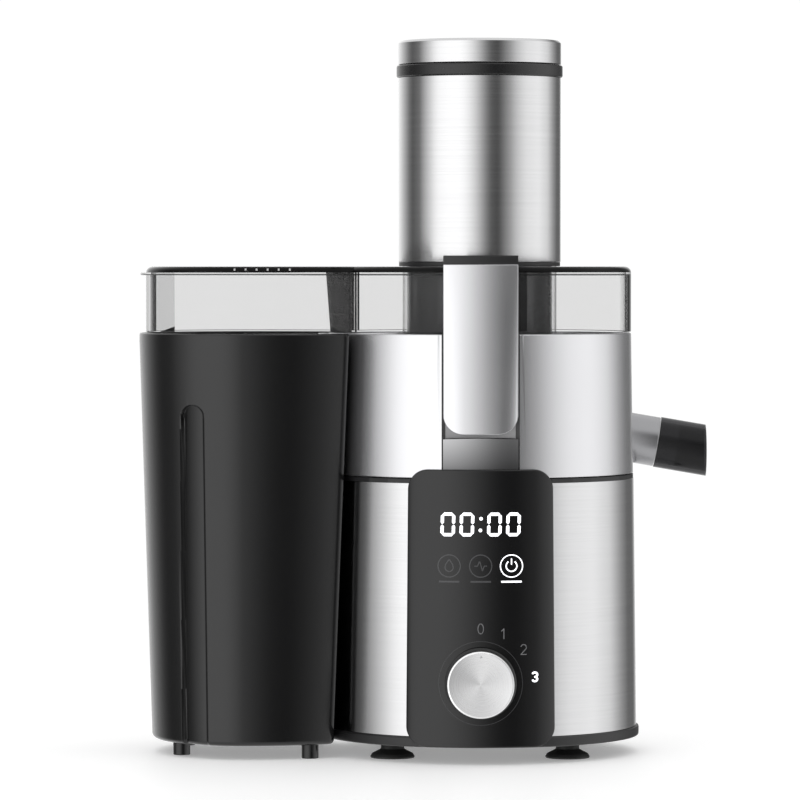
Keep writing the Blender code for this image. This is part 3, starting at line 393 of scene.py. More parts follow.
# ---------------------------------------------------------------- mesh helpers
def raw(name, points, faces):
    mesh = bpy.data.meshes.new(name)
    mesh.from_pydata([tuple(Vector(p) + AXIS) for p in points], [], faces)
    work = bmesh.new()
    work.from_mesh(mesh)
    bmesh.ops.remove_doubles(work, verts=work.verts, dist=1e-7)
    bmesh.ops.recalc_face_normals(work, faces=work.faces)
    work.to_mesh(mesh)
    work.free()
    made = bpy.data.objects.new(name, mesh)
    bpy.context.scene.collection.objects.link(made)
    return made


def dress(made, finish, body, slot, *nodes, sharp=38):
    """Gives a piece its material and shading, ties it to its body, and hides the nodes it stands for."""
    made.data.materials.clear()
    made.data.materials.append(finish)
    made.data.shade_smooth()
    made.data.set_sharp_from_angle(angle=math.radians(sharp))
    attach(made, body)
    if nodes:
        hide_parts(*nodes)
    return made


def carved(target, cutters=(), joined=()):
    """The target with other shapes joined to it and cut from it."""
    for operation, others in (("UNION", joined), ("DIFFERENCE", cutters)):
        for other in others:
            modifier = target.modifiers.new(other.name, "BOOLEAN")
            modifier.operation = operation
            modifier.solver = "EXACT"
            modifier.object = other
    bpy.context.view_layer.update()
    graph = bpy.context.evaluated_depsgraph_get()
    mesh = bpy.data.meshes.new_from_object(target.evaluated_get(graph))
    target.modifiers.clear()
    target.data = mesh
    for other in (*cutters, *joined):
        bpy.data.objects.remove(other)
    return target


def bezier(before, corner, after, count=8):
    """Points of a curve from before to after that leans towards corner."""
    shares = [i / count for i in range(count + 1)]
    return [before * (1 - t) ** 2 + corner * 2 * t * (1 - t) + after * t * t for t in shares]


def softened(profile, radius):
    """A closed profile with its corners rounded, apart from those on the axis."""
    points = [Vector(p) for p in profile]
    found = []
    for i, corner in enumerate(points):
        before, after = points[i - 1], points[(i + 1) % len(points)]
        a, b = before - corner, after - corner
        on_axis = corner.x < 1e-6
        if on_axis or min(a.length, b.length) < 1e-9 or a.angle(b) > NEARLY_STRAIGHT:
            found.append(corner)
            continue
        reach = min(radius / math.tan(a.angle(b) / 2), 0.45 * a.length, 0.45 * b.length)
        found += bezier(corner + a.normalized() * reach, corner, corner + b.normalized() * reach, 4)
    return [(p.x, p.y) for p in found]


def circle(radius, count, height=0.0):
    """Points round the Z axis at one height."""
    turns = [math.tau * i / count for i in range(count)]
    return [Vector((radius * math.cos(turn), radius * math.sin(turn), height)) for turn in turns]


def turned_mesh(profile, steps):
    points, rings = [], []
    for radius, height in profile:
        count = 1 if radius < 1e-7 else steps
        rings.append(list(range(len(points), len(points) + count)))
        points += circle(radius if count > 1 else 0.0, count, height)
    faces = []
    for a, b in zip(rings, rings[1:] + rings[:1]):
        for i in range(steps):
            corners = [a[i % len(a)], a[(i + 1) % len(a)], b[(i + 1) % len(b)], b[i % len(b)]]
            unique = list(dict.fromkeys(corners))
            if len(unique) > 2:
                faces.append(unique)
    return points, faces


def turned(name, profile, soft=0.0, steps=ROUND, place=None):
    """A profile of (radius, height) turned about Z, its corners rounded by soft, then moved to place."""
    points, faces = turned_mesh(softened(profile, soft) if soft else profile, steps)
    if place:
        points = [place @ p for p in points]
    return raw(name, points, faces)


def hoop(name, inner, outer, low, high, soft, steps=ROUND, place=None):
    return turned(name, [(inner, low), (outer, low), (outer, high), (inner, high)], soft, steps, place)


def rod(name, radius, low, high, place=None, steps=SMALL_ROUND, soft=0.0):
    return turned(name, [(0, low), (radius, low), (radius, high), (0, high)], soft, steps, place)


def block_mesh(low, high):
    points = [Vector(p) for p in itertools.product(*zip(low, high))]
    return points, [(0, 1, 3, 2), (4, 6, 7, 5), (0, 4, 5, 1), (2, 3, 7, 6), (0, 2, 6, 4), (1, 5, 7, 3)]


def block(name, low, high):
    return raw(name, *block_mesh(low, high))


def several(name, meshes):
    """One object out of several closed meshes."""
    points, faces = [], []
    for some, sides in meshes:
        faces += [[k + len(points) for k in side] for side in sides]
        points += some
    return raw(name, points, faces)


def around(count, radius, mesh, first=0.0):
    found = []
    for i in range(count):
        turn = Matrix.Rotation(first + math.tau * i / count, 4, "Z") @ Matrix.Translation((radius, 0, 0))
        found.append(([turn @ p for p in mesh[0]], mesh[1]))
    return found


def lofted(name, rings, closed=False):
    """A skin over rings of points; its ends are capped, or joined to each other if closed."""
    count = len(rings[0])
    points = [p for ring in rings for p in ring]
    faces = [] if closed else [list(range(count)), list(range(len(points) - count, len(points)))]
    for k in range(len(rings) if closed else len(rings) - 1):
        for i in range(count):
            j = (i + 1) % count
            m = (k + 1) % len(rings)
            faces.append([k * count + i, k * count + j, m * count + j, m * count + i])
    return raw(name, points, faces)


def quarter(steps):
    """Angles that divide a quarter turn into steps."""
    return [math.pi / 2 * k / steps for k in range(steps + 1)]


def curved_plate(name, half_angle, low, high, inner, outer, columns, edge=0.0, back=False):
    """A plate bent round the motor axis, with its outer edges rounded over by edge."""
    rings = []
    reach = half_angle * EDGE_RADIUS
    for i in range(columns + 1):
        share = -math.cos(math.pi * i / columns)
        angle = share * half_angle
        side = Vector((math.sin(angle), -math.cos(angle), 0))
        bottom, top = low(share), high(share)
        past = max(0.0, abs(share) - (1 - edge / reach)) if edge else 0.0
        sink = edge * (1 - math.sqrt(max(0.0, 1 - (past * reach / edge) ** 2))) if past else 0.0
        corners = [(inner(bottom), bottom)]
        bends = [(edge * (1 - math.sin(turn)), edge * (1 - math.cos(turn))) for turn in quarter(3)]
        corners += [(outer(bottom) - sink - back_off, bottom + rise) for back_off, rise in bends]
        corners += [(outer(top) - sink - rise, top - back_off) for back_off, rise in bends]
        corners.append((inner(top), top))
        rings.append([side * radius + Vector((0, 0, height)) for radius, height in corners])
    if back:
        flip = Matrix.Rotation(math.pi, 4, "Z")
        rings = [[flip @ p for p in ring] for ring in rings]
    return lofted(name, rings)


def rounded_edge(level, corner, half_width, inward):
    """A plate's level by share of its half width: straight, then round at the ends."""
    def height(share):
        past = max(0.0, abs(share) * half_width - (half_width - corner))
        return level + inward * (corner - math.sqrt(max(0.0, corner**2 - past**2)))

    return height


def lathe_place(position, direction):
    return Matrix.Translation(position) @ Vector(direction).to_track_quat("Z", "Y").to_matrix().to_4x4()


def along_y(x, z):
    return lathe_place((x, 0, z), (0, 1, 0))


def between(ends, share):
    return ends[0] + (ends[1] - ends[0]) * share


def smooth(share):
    """Eases a share of 0..1 in and out, and holds it beyond."""
    share = min(1.0, max(0.0, share))
    return share * share * (3 - 2 * share)


def taper(bottom, top, low, high):
    return lambda height: bottom + (top - bottom) * (height - low) / (high - low)


shell_radius = taper(SHELL_BOTTOM_RADIUS, SHELL_TOP_RADIUS, RIM_TOP, SHELL_TOP)
bowl_radius = taper(BOWL_BOTTOM_RADIUS, BOWL_TOP_RADIUS, BOWL_BOTTOM, BOWL_TOP)


# ---------------------------------------------------------------- plan outlines
def egg(turn, left, right, depth):
    reach = left if math.cos(turn) < 0 else right
    return Vector((BIN_X + reach * math.cos(turn), depth * math.sin(turn)))


def horn_turn(left, right, depth, radius):
    low, high = 0.0, math.pi / 2
    for _ in range(50):
        middle = (low + high) / 2
        if egg(middle, left, right, depth).length < radius:
            low = middle
        else:
            high = middle
    return high


def inset(outline, distance):
    """The outline, clockwise seen from above, moved inwards by a distance or by distance(point)."""
    found = []
    count = len(outline)
    for i, point in enumerate(outline):
        a = (point - outline[i - 1]).normalized()
        b = (outline[(i + 1) % count] - point).normalized()
        normal = Vector((a.y + b.y, -a.x - b.x))
        normal.normalize()
        across = max(0.6, normal.dot(Vector((a.y, -a.x))))
        how_far = distance(point) if callable(distance) else distance
        found.append(point + normal * how_far / across)
    return found


def flute_depth(turn, height):
    """A long recess with a round top: steep sides, and a floor that is deeper towards the left."""
    share = (height - BIN_FLOOR) / (BIN_TOP - BIN_FLOOR)
    left_edge = between(FLUTE_LEFT_TURNS, share)
    middle, half = (left_edge + FLUTE_RIGHT_TURN) / 2, (left_edge - FLUTE_RIGHT_TURN) / 2
    across = (abs(math.remainder(turn, math.tau)) - middle) / half
    below = min(1.0, (FLUTE_TOP - height) / FLUTE_ROUNDING)
    if below <= 0:
        return 0.0
    room = math.sqrt(1 - (1 - below) ** 2) - abs(across)
    leftward = max(0.0, min(1.0, (across + 1) / 2))
    floor = between((FLUTE_SHALLOW, FLUTE_DEEP), leftward**1.7)
    return floor * smooth(room / FLUTE_SIDE)


def bin_outline(height, fluted=True):
    share = (height - BIN_FLOOR) / (BIN_TOP - BIN_FLOOR)
    left, right = between(BIN_LEFT_RADII, share), between(BIN_RIGHT_RADII, share)
    depth, radius = between(BIN_DEPTHS, share), between(BIN_ARC_RADII, share)
    horn = horn_turn(left, right, depth, radius)
    corner = egg(-horn, left, right, depth)
    first = horn + math.radians(3.5)
    last = math.tau - first
    side = []
    for i in range(641):
        turn = first + (last - first) * i / 640
        point = egg(-turn, left, right, depth)
        inward = Vector((BIN_X, 0)) - point
        side.append(point + inward.normalized() * (flute_depth(turn, height) if fluted else 0.0))
    bearing = math.atan2(-corner.y, -corner.x)
    swing = bearing - math.radians(2.5)
    angles = [swing - 2 * swing * i / 40 for i in range(41)]
    arc = [Vector((-radius * math.cos(angle), radius * math.sin(angle))) for angle in angles]
    mirrored = Vector((corner.x, -corner.y))
    back = bezier(side[-1], mirrored, arc[0])[1:-1]
    front = bezier(arc[-1], corner, side[0])[1:-1]
    return side + back + arc + front


def lid_outline():
    left, right = BIN_LEFT_RADII[1] - COVER_INSET, BIN_RIGHT_RADII[1] - COVER_INSET
    depth = BIN_DEPTHS[1] - COVER_INSET
    horn = horn_turn(left, right, depth, LID_RADIUS)
    last = math.tau - horn
    side = [egg(-(horn + (last - horn) * i / 160), left, right, depth) for i in range(161)]
    bearing = math.atan2(side[-1].y, side[-1].x)
    circle = []
    for i in range(1, 160):
        angle = bearing - 2 * bearing * i / 160
        y = max(-LID_FLAT, min(LID_FLAT, LID_RADIUS * math.sin(angle)))
        circle.append(Vector((LID_RADIUS * math.cos(angle), y)))
    return side + circle


def ring_at(outline, height):
    return [Vector((p.x, p.y, height)) for p in outline]


# ---------------------------------------------------------------- base
def make_base():
    inside, bore, ledge, floor_top = 0.0830, 0.0852, 0.0400, BASE_BOTTOM + 0.0025
    profile = [
        (0, BASE_BOTTOM), (RIM_RADIUS, BASE_BOTTOM), (RIM_RADIUS, RIM_TOP + 0.0001),
        (0.0898, RIM_TOP + 0.0001), (bore, RIM_TOP), (bore, ledge), (inside, ledge), (inside, floor_top),
        (0, floor_top),
    ]
    tray = turned("tray_fine", profile, 0.0012)
    slots = several("slots", around(12, 0.034, block_mesh((-0.011, -0.0016, 0.005), (0.011, 0.0016, 0.016))))
    sinks = [(0, 0), (0.0042, 0), (0.0042, 0.0110), (0.0023, 0.0110), (0.0023, 0.050), (0, 0.050)]
    holes = several("holes", around(4, 0.080, turned_mesh(sinks, TINY_ROUND), math.radians(20)))
    carved(tray, (slots, holes, rod("inlet", 0.0074, 0.070, 0.100, along_y(0, 0.030), TINY_ROUND)))
    dress(tray, BLACK, "base", "black_plastic", "base_tray")

    foot_profile = [
        (0, 0.0014), (0.0070, 0.0012), (0.0106, 0.0), (0.0127, 0.0), (0.0128, 0.0010), (0.0118, 0.0026),
        (0.0086, 0.0042), (0.0068, 0.0052), (0.0066, 0.0098), (0, 0.0098),
    ]
    for node in ("foot_front_left", "foot_front_right", "foot_back_left", "foot_back_right"):
        low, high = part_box(node)
        middle = (low + high) / 2 - AXIS
        place = Matrix.Translation((middle.x, middle.y, 0))
        foot = turned(f"{node}_fine", foot_profile, 0.0006, SMALL_ROUND, place)
        dress(foot, RUBBER, "base", "rubber", node)

    low, high = RIM_TOP + 0.0002, SHELL_TOP + 0.0014
    # The top stands out a little, to cover the flats of the CAD's deck.
    profile = [
        (shell_radius(low) - 0.0008, low), (shell_radius(low), low),
        (shell_radius(high) + 0.0007, high), (shell_radius(high) - 0.0001, high),
    ]
    dress(turned("shell_fine", profile, 0.0003, 224), STEEL, "base", "brushed_steel", "body_shell")

    band = hoop("seam_band", 0.0888, 0.0896, SHELL_TOP + 0.0015, DECK_TOP, 0.0002)
    dress(band, BLACK, "base", "black_plastic")
    seat = hoop("deck_fine", 0.0148, DECK_RADIUS, DECK_TOP, DECK_TOP + 0.00025, 0.0001)
    dress(seat, BLACK, "base", "black_plastic")


def make_panel():
    half = PANEL_ANGLE * RIM_RADIUS
    plate = curved_plate(
        "panel_fine", PANEL_ANGLE, rounded_edge(BASE_BOTTOM + 0.0002, 0.0125, half, 1),
        rounded_edge(PANEL_TOP, 0.012, half, -1), lambda z: shell_radius(z) + 0.0004,
        lambda z: shell_radius(z) + PANEL_WALL, 96, 0.0009,
    )
    dress(plate, PANEL, "base", "gloss_black", "control_panel")


def on_panel(name, flats, finish, lift=0.00006):
    """Thin marks on the panel: flats are polygons in (x, z), laid on the curved face."""
    thick, longest_edge = 0.0004, 0.0022
    work = bmesh.new()
    for outline in flats:
        corners = [work.verts.new((x, 0, z)) for x, z in outline]
        work.faces.new(corners)
    bmesh.ops.triangulate(work, faces=work.faces)
    for _ in range(3):
        long_edges = [e for e in work.edges if e.calc_length() > longest_edge]
        if not long_edges:
            break
        bmesh.ops.subdivide_edges(work, edges=long_edges, cuts=1)
        bmesh.ops.triangulate(work, faces=work.faces)
    bmesh.ops.remove_doubles(work, verts=work.verts, dist=1e-7)
    bmesh.ops.recalc_face_normals(work, faces=work.faces)
    for face in work.faces:
        if face.normal.y > 0:
            face.normal_flip()
    made = bmesh.ops.extrude_face_region(work, geom=list(work.faces))
    for v in made["geom"]:
        if isinstance(v, bmesh.types.BMVert):
            v.co.y -= thick
    bmesh.ops.recalc_face_normals(work, faces=work.faces)
    for v in work.verts:
        radius = shell_radius(v.co.z) + PANEL_WALL + lift - v.co.y - thick
        v.co = Vector((v.co.x, -math.sqrt(radius**2 - v.co.x**2), v.co.z)) + AXIS
    mesh = bpy.data.meshes.new(name)
    work.to_mesh(mesh)
    work.free()
    piece = bpy.data.objects.new(name, mesh)
    bpy.context.scene.collection.objects.link(piece)
    dress(piece, finish, "base", "gloss_black")


def zero_flats(x, z, width, height, thick, lean=0.025):
    """The six bars of a seven-segment zero, leaning a little to the right."""
    half_w, half_h, t = width / 2, height / 2, thick / 2
    gap = thick * 0.08
    found = []
    for level in (half_h - t, t - half_h):
        a, b = -half_w + t + gap, half_w - t - gap
        found.append([
            (a, level), (a + t, level + t), (b - t, level + t),
            (b, level), (b - t, level - t), (a + t, level - t),
        ])
    for side in (-1, 1):
        for up in (-1, 1):
            middle = side * (half_w - t)
            a, b = sorted((up * gap, up * (half_h - t - gap)))
            found.append([
                (middle, a), (middle - t, a + t), (middle - t, b - t),
                (middle, b), (middle + t, b - t), (middle + t, a + t),
            ])
    return [[(x + u + lean * v, z + v) for u, v in outline] for outline in found]


def on_circle(x, z, radius, turn):
    return x + radius * math.cos(turn), z + radius * math.sin(turn)


def disc_flat(x, z, radius, steps=20):
    return [on_circle(x, z, radius, math.tau * i / steps) for i in range(steps)]


def ring_flats(x, z, outer, inner, steps=48, start=0.0, sweep=math.tau):
    found = []
    for i in range(steps):
        a, b = start + sweep * i / steps, start + sweep * (i + 1) / steps
        corners = ((outer, a), (outer, b), (inner, b), (inner, a))
        found.append([on_circle(x, z, radius, turn) for radius, turn in corners])
    return found


def bar_flat(start, end, thick, past=0.0):
    """A straight stroke between two points, lengthened by past at both ends."""
    a, b = Vector(start), Vector(end)
    along = (b - a).normalized()
    a, b = a - along * past, b + along * past
    across = Vector((-along.y, along.x)) * thick / 2
    return [tuple(p) for p in (a + across, b + across, b - across, a - across)]


def stroke_flats(x, z, path, thick, past=0.0):
    """Strokes along a path that is given from (x, z)."""
    points = [(x + u, z + v) for u, v in path]
    return [bar_flat(a, b, thick, past) for a, b in zip(points, points[1:])]


def arc_points(x, z, width, height, start, end, count=14):
    """Points of an elliptic arc, in degrees counted from the right and upwards."""
    found = []
    for i in range(count + 1):
        turn = math.radians(start + (end - start) * i / count)
        found.append((x + width * math.cos(turn), z + height * math.sin(turn)))
    return found


def figure_flats(figure, x, z, height, thick):
    """A dial figure drawn with strokes of one thickness, centred on (x, z)."""
    half, wide = height / 2, height * 0.28
    bowl = half / 2
    paths = {
        "0": [arc_points(0, 0, wide, half, 0, 360, 28)],
        "1": [[(-wide * 0.7, half * 0.55), (wide * 0.15, half), (wide * 0.15, -half)]],
        "2": [arc_points(0, half - wide, wide, wide, 165, -35) + [(-wide, -half), (wide, -half)]],
        "3": [arc_points(0, bowl, wide, bowl, 150, -90), arc_points(0, -bowl, wide, bowl, 90, -150)],
    }[figure]
    return [flat for path in paths for flat in stroke_flats(x, z, path, thick, thick * 0.3)]


def key_glyph(kind, x, z):
    """The sign on a key: a drop, a pulse or the power sign."""
    if kind == "power":
        arc = ring_flats(x, z, 0.0034, 0.0027, 30, math.radians(125), math.radians(290))
        return arc + stroke_flats(x, z, [(0, 0.0008), (0, 0.0042)], 0.0007)
    if kind == "drop":
        arc = ring_flats(x, z - 0.0008, 0.0026, 0.0020, 30, math.radians(150), math.radians(240))
        left, right = ([(side * 0.0022, 0.0005), (0, 0.0038)] for side in (-1, 1))
        return arc + stroke_flats(x, z, left, 0.0006) + stroke_flats(x, z, right, 0.0006)
    pulse = [(-0.0036, 0), (-0.0018, 0), (-0.0006, 0.0028), (0.0010, -0.0028), (0.0020, 0), (0.0036, 0)]
    return stroke_flats(x, z, pulse, 0.0006)


def make_marks():
    digits = []
    for x in (-0.0186, -0.0078, 0.0078, 0.0186):
        digits += zero_flats(x, 0.1370, 0.0082, 0.0135, 0.0018)
    digits += [disc_flat(0.0002, 0.1403, 0.0010), disc_flat(-0.0002, 0.1337, 0.0010)]
    on_panel("clock_figures", digits, WHITE_LIT)

    key_z, label_z = 0.1134, 0.1045
    for name, x, finish, kind in (
        ("soft_fruit_key", -0.0179, WHITE_DIM, "drop"), ("hard_fruit_key", 0.0, WHITE_DIM, "pulse"),
        ("power_key", 0.0175, WHITE_LIT, "power"),
    ):
        on_panel(name, ring_flats(x, key_z, 0.0066, 0.0060) + key_glyph(kind, x, key_z), finish)
        on_panel(f"{name}_label", stroke_flats(x, label_z, [(-0.0058, 0), (0.0058, 0)], 0.0010), finish)

    figure_radius = 0.0310
    for text, degrees in (("0", 0.0), ("1", 24.7), ("2", 52.0), ("3", 83.7)):
        turn = math.radians(degrees)
        x, z = figure_radius * math.sin(turn), KNOB_Z + figure_radius * math.cos(turn)
        bright = text == "3"
        flats = figure_flats(text, x, z, 0.0050 if bright else 0.0056, 0.0010 if bright else 0.0005)
        on_panel(f"dial_figure_{text}", flats, WHITE_LIT if bright else DIAL_GREY)
    # Painted highlight: a thin light ring where the edge of the knob's dish would catch the light; the dish
    # itself isn't modelled.
    on_panel("dish_edge_highlight_ring", ring_flats(0, KNOB_Z, 0.0240, 0.0236, 72), DISH_EDGE_HIGHLIGHT)
    # Painted shadow: a near-black ring on the panel round the knob.
    on_panel("knob_painted_shadow", ring_flats(0, KNOB_Z, 0.0222, 0.0120, 72), KNOB_PAINTED_SHADOW, lift=-0.0002)


def make_knob():
    place, face = along_y(0, KNOB_Z), -KNOB_FACE
    back, skirt_back, stem, stem_back = -0.0970, -0.0947, 0.0038, -0.0806
    profile = [
        (0, face + 0.0003), (KNOB_RADIUS - 0.0030, face + 0.0002), (KNOB_RADIUS - 0.0009, face),
        (KNOB_RADIUS, face + 0.0004), (KNOB_RADIUS + 0.0001, back), (0, back),
    ]
    dress(turned("knob_cap_fine", profile, 0.0004, ROUND, place), SPUN_PAINTED_HIGHLIGHT, "knob", "aluminium", "knob_cap")
    profile = [
        (0, back + 0.0001), (KNOB_RADIUS + 0.0004, back + 0.0001), (KNOB_RADIUS + 0.0014, back + 0.0010),
        (KNOB_RADIUS + 0.0014, skirt_back), (stem, skirt_back), (stem, stem_back), (0, stem_back),
    ]
    skirt = turned("knob_skirt_fine", profile, 0.0003, ROUND, place)
    dress(skirt, BLACK, "knob", "black_plastic", "knob_body")
    place = lathe_place((0, face - 0.00008, KNOB_Z + 0.0158), (0, 1, 0))
    pointer = rod("knob_pointer", 0.0007, 0, 0.0006, place, TINY_ROUND, 0.0002)
    dress(pointer, CAST_ALUMINIUM, "knob", "aluminium")


# ---------------------------------------------------------------- bowl and spout
def spout_place():
    return lathe_place((SPOUT_X, 0, SPOUT_Z), (math.cos(SPOUT_ANGLE), 0, -math.sin(SPOUT_ANGLE)))


def make_bowl():
    floor_low, floor_top, deck_low, deck_top, lip = 0.1650, 0.1675, 0.2345, 0.2368, 0.0718
    chimney, chimney_top = CHIMNEY_RADIUS + 0.0022, 0.1840

    def inner(height):
        return bowl_radius(height) - BOWL_WALL

    profile = [
        (CHIMNEY_RADIUS, floor_low), (inner(floor_low), floor_low), (inner(BOWL_BOTTOM), BOWL_BOTTOM),
        (bowl_radius(BOWL_BOTTOM), BOWL_BOTTOM), (bowl_radius(BOWL_TOP), BOWL_TOP),
        (inner(BOWL_TOP), BOWL_TOP), (inner(BOWL_TOP), deck_top), (lip, deck_top), (lip, deck_low),
        (inner(deck_low), deck_low), (inner(floor_top), floor_top), (chimney, floor_top),
        (chimney, chimney_top), (CHIMNEY_RADIUS, chimney_top),
    ]
    bowl = turned("bowl_fine", profile, 0.0009, 192)
    wall = CHANNEL_HALF + 0.0022
    low, high = BOWL_BOTTOM + 0.0004, BOWL_TOP - 0.0002
    joined, cutters = [], []
    for side, sign in (("front", -1), ("back", 1)):
        near, far = sorted((sign * (CHANNEL_FLOOR - 0.0023), sign * 0.0855))
        joined.append(block(f"channel_wall_{side}", (-wall, near, low), (wall, far, high)))
        near, far = sorted((sign * CHANNEL_FLOOR, sign * 0.1000))
        cutters.append(block(f"channel_{side}", (-CHANNEL_HALF, near, 0.150), (CHANNEL_HALF, far, 0.260)))
    cutters.append(rod("stub_hole", SPOUT_RADIUS + 0.0001, -0.012, 0.020, spout_place()))
    carved(bowl, cutters, joined)
    dress(bowl, SILVER, "bowl", "silver_plastic", "juice_bowl", "bowl_ledge", sharp=32)
    # Painted shade: the channel's side walls and back wall beside the latch get the very dark silver.
    bowl.data.materials.append(CHANNEL_PAINTED_SHADE)
    for face in bowl.data.polygons:
        place = face.center - AXIS
        side_wall = abs(abs(place.x) - CHANNEL_HALF) < 0.0002 and abs(face.normal.x) > 0.9
        back_wall = abs(place.x) < CHANNEL_HALF and abs(abs(place.y) - CHANNEL_FLOOR) < 0.0002
        if side_wall or back_wall:
            face.material_index = 1

    neck, neck_end = SPOUT_RADIUS - 0.002, STUB_LENGTH + 0.012
    profile = [
        (SPOUT_BORE, -0.004), (SPOUT_RADIUS, -0.004), (SPOUT_RADIUS, STUB_LENGTH), (neck, STUB_LENGTH),
        (neck, neck_end), (SPOUT_BORE, neck_end),
    ]
    stub = turned("stub_fine", profile, 0.0003, ROUND, spout_place())
    # The stub's silver is darkened with painted shade.
    dress(stub, SILVER_PAINTED_SHADE, "bowl", "silver_plastic", "spout_stub")
    stub.visible_glossy = False

    nozzle = hoop(
        "nozzle_fine", neck + 0.0002, SPOUT_RADIUS + 0.0004, STUB_LENGTH + GAP, 0.060, 0.0004,
        SMALL_ROUND, spout_place(),
    )
    carved(nozzle, (block("nozzle_end", (SPOUT_TIP, -0.030, 0.130), (SPOUT_TIP + 0.040, 0.030, 0.220)),))
    dress(nozzle, SMOKED, "nozzle", "smoked_plastic", "spout_nozzle")
    nozzle.visible_glossy = False


def make_basket():
    inner, low, high = 0.0638, 0.2383, 0.2428
    profile = [(inner, low), (0.0680, low), (0.0680, high), (inner + 0.0010, high), (inner, high - 0.0010)]
    dress(turned("basket_rim_fine", profile, 0.0005), BLACK, "basket", "black_plastic", "basket_rim")
    profile = [(0.0515, 0.1906), (0.0523, 0.1906), (0.0658, 0.2380), (0.0650, 0.2380)]
    dress(turned("filter_screen_fine", profile, 0.0002), PERFORATED, "basket", "steel", "filter_screen")
    top, boss_top = 0.1939, 0.1974
    profile = [
        (0, top - 0.0010), (0.0485, top - 0.0010), (0.0485, top), (0.0060, top), (0.0045, boss_top),
        (0, boss_top),
    ]
    dress(turned("grater_disc_fine", profile, 0.0003), PLAIN_STEEL, "basket", "steel", "grater_disc")

    count, golden_turn = 150, 2.39996
    corners = ((-0.0007, -0.0011), (0.0007, -0.0011), (0.0007, 0.0011), (-0.0007, 0.0011))
    tooth = [Vector((x, y, 0)) for x, y in corners] + [Vector((0, 0.0009, 0.0012))]
    teeth = []
    for i in range(count):
        radius = 0.0085 + 0.0380 * math.sqrt((i + 0.5) / count)
        place = Matrix.Rotation(i * golden_turn, 4, "Z") @ Matrix.Translation((radius, 0, top - 0.0001))
        teeth.append(([place @ p for p in tooth], [(3, 2, 1, 0), (0, 1, 4), (1, 2, 4), (2, 3, 4), (3, 0, 4)]))
    dress(several("grater_teeth", teeth), PLAIN_STEEL, "basket", "steel")


# ---------------------------------------------------------------- lid, tube and pusher
def cover_share(point):
    """1 over the bin, falling to 0 where the lid meets the bowl."""
    start_x, length = -0.095, 0.025
    return smooth((start_x - point.x) / length)


def make_lid():
    outline = lid_outline()
    bend, lip_top, lip_low = 0.0034, LID_TOP - 0.0036, LID_TOP - 0.0050

    def bulge(most):
        return inset(outline, lambda point: -most * cover_share(point))

    rings = [ring_at(inset(outline, 0.0052), LID_TOP)]
    for k, turn in enumerate(quarter(5)):
        drawn_in = bend * (1 - math.sin(turn)) + 0.0004 * (1 - k / 5)
        rings.append(ring_at(inset(outline, drawn_in), LID_TOP - bend * (1 - math.cos(turn))))
    for most, height in ((0.0030, lip_top), (0.0033, (lip_top + lip_low) / 2), (0.0030, lip_low)):
        rings.append(ring_at(bulge(most), height))
    for drawn_in, height in (
        (0.0, lip_low - 0.0002), (0.0, LID_BOTTOM + 0.0004), (0.0004, LID_BOTTOM),
        (LID_WALL - 0.0004, LID_BOTTOM), (LID_WALL, LID_BOTTOM + 0.0004), (LID_WALL, LID_TOP - 0.0050),
        (LID_WALL + 0.0008, LID_TOP - 0.0032), (LID_WALL + 0.0026, LID_TOP - LID_WALL),
    ):
        rings.append(ring_at(inset(outline, drawn_in), height))
    lid = lofted("lid_fine", rings)
    carved(lid, (rod("tube_hole", TUBE_OUTER + 0.0001, LID_TOP - 0.010, LID_TOP + 0.010, None, ROUND),))
    dress(lid, CLEAR, "lid", "clear_plastic", "clear_lid", sharp=30)
    lid.data.materials.append(CLEAR_PAINTED_SHADE_EDGE)
    lid.data.materials.append(CLEAR_PAINTED_SHADE_RIM)
    for face in lid.data.polygons:
        height, upright = face.center.z, abs(face.normal.z) < 0.97
        # Painted shade: the roof's rounded edge and the right-hand face below the lip take the dark tint.
        if upright and height > LID_TOP - 0.0033 or face.normal.x > 0.966 and height < lip_low:
            face.material_index = 1
        # Painted shade: thin bands at the lip and at the foot of the lid take the grey tint.
        elif upright and (lip_low - 0.0003 < height < lip_low + 0.0004 or height < LID_BOTTOM + 0.0005):
            face.material_index = 2
    make_cover_details(outline)
    make_chute()


def make_cover_details(outline):
    # A clear web across the left end of the cover, with a dark catch at its foot.
    wall_x, left_x = -0.1784, min(point.x for point in outline) + 0.0030
    low, high = LID_BOTTOM + 0.001, LID_TOP - LID_WALL - 0.0001
    web = block("cover_web", (left_x, -0.0008, low), (wall_x, 0.0008, high))
    dress(web, CLEAR_WEB, "lid", "clear_plastic")
    wedge = ((wall_x - 0.0085, 0), (wall_x, 0), (wall_x, 0.0030))
    points = [Vector((x, y, LID_BOTTOM + rise)) for y in (-0.0020, 0.0020) for x, rise in wedge]
    catch = raw("cover_catch", points, [(0, 1, 2), (5, 4, 3), (0, 3, 4, 1), (1, 4, 5, 2), (2, 5, 3, 0)])
    dress(catch, BLACK, "lid", "clear_plastic")

    # Short light ticks moulded into the edge of the roof.
    ticks, low, high = [], LID_TOP - 0.0024, LID_TOP - 0.0012
    for i in range(6):
        x = -0.1405 + 0.00630 * i
        edge_y = max(abs(point.y) for point in outline if abs(point.x - x) < 0.004)
        ticks += pair_of_blocks(x, 0.0010, edge_y - 0.0030, edge_y - 0.0003, low, high)
    dress(several("cover_ticks", ticks), TICK_WHITE, "lid", "clear_plastic")

    # Dark upright blocks beside the feed tube, one at the front and one at the back.
    low, high = LID_BOTTOM + 0.0008, LID_TOP - 0.0030
    posts = [
        block_mesh((0.0212, -0.0525, low), (0.0269, -0.0510, high)),
        block_mesh((-0.0269, 0.0510, low), (-0.0212, 0.0525, high)),
    ]
    dress(several("dark_tube_strips", posts), BLACK, "lid", "clear_plastic")


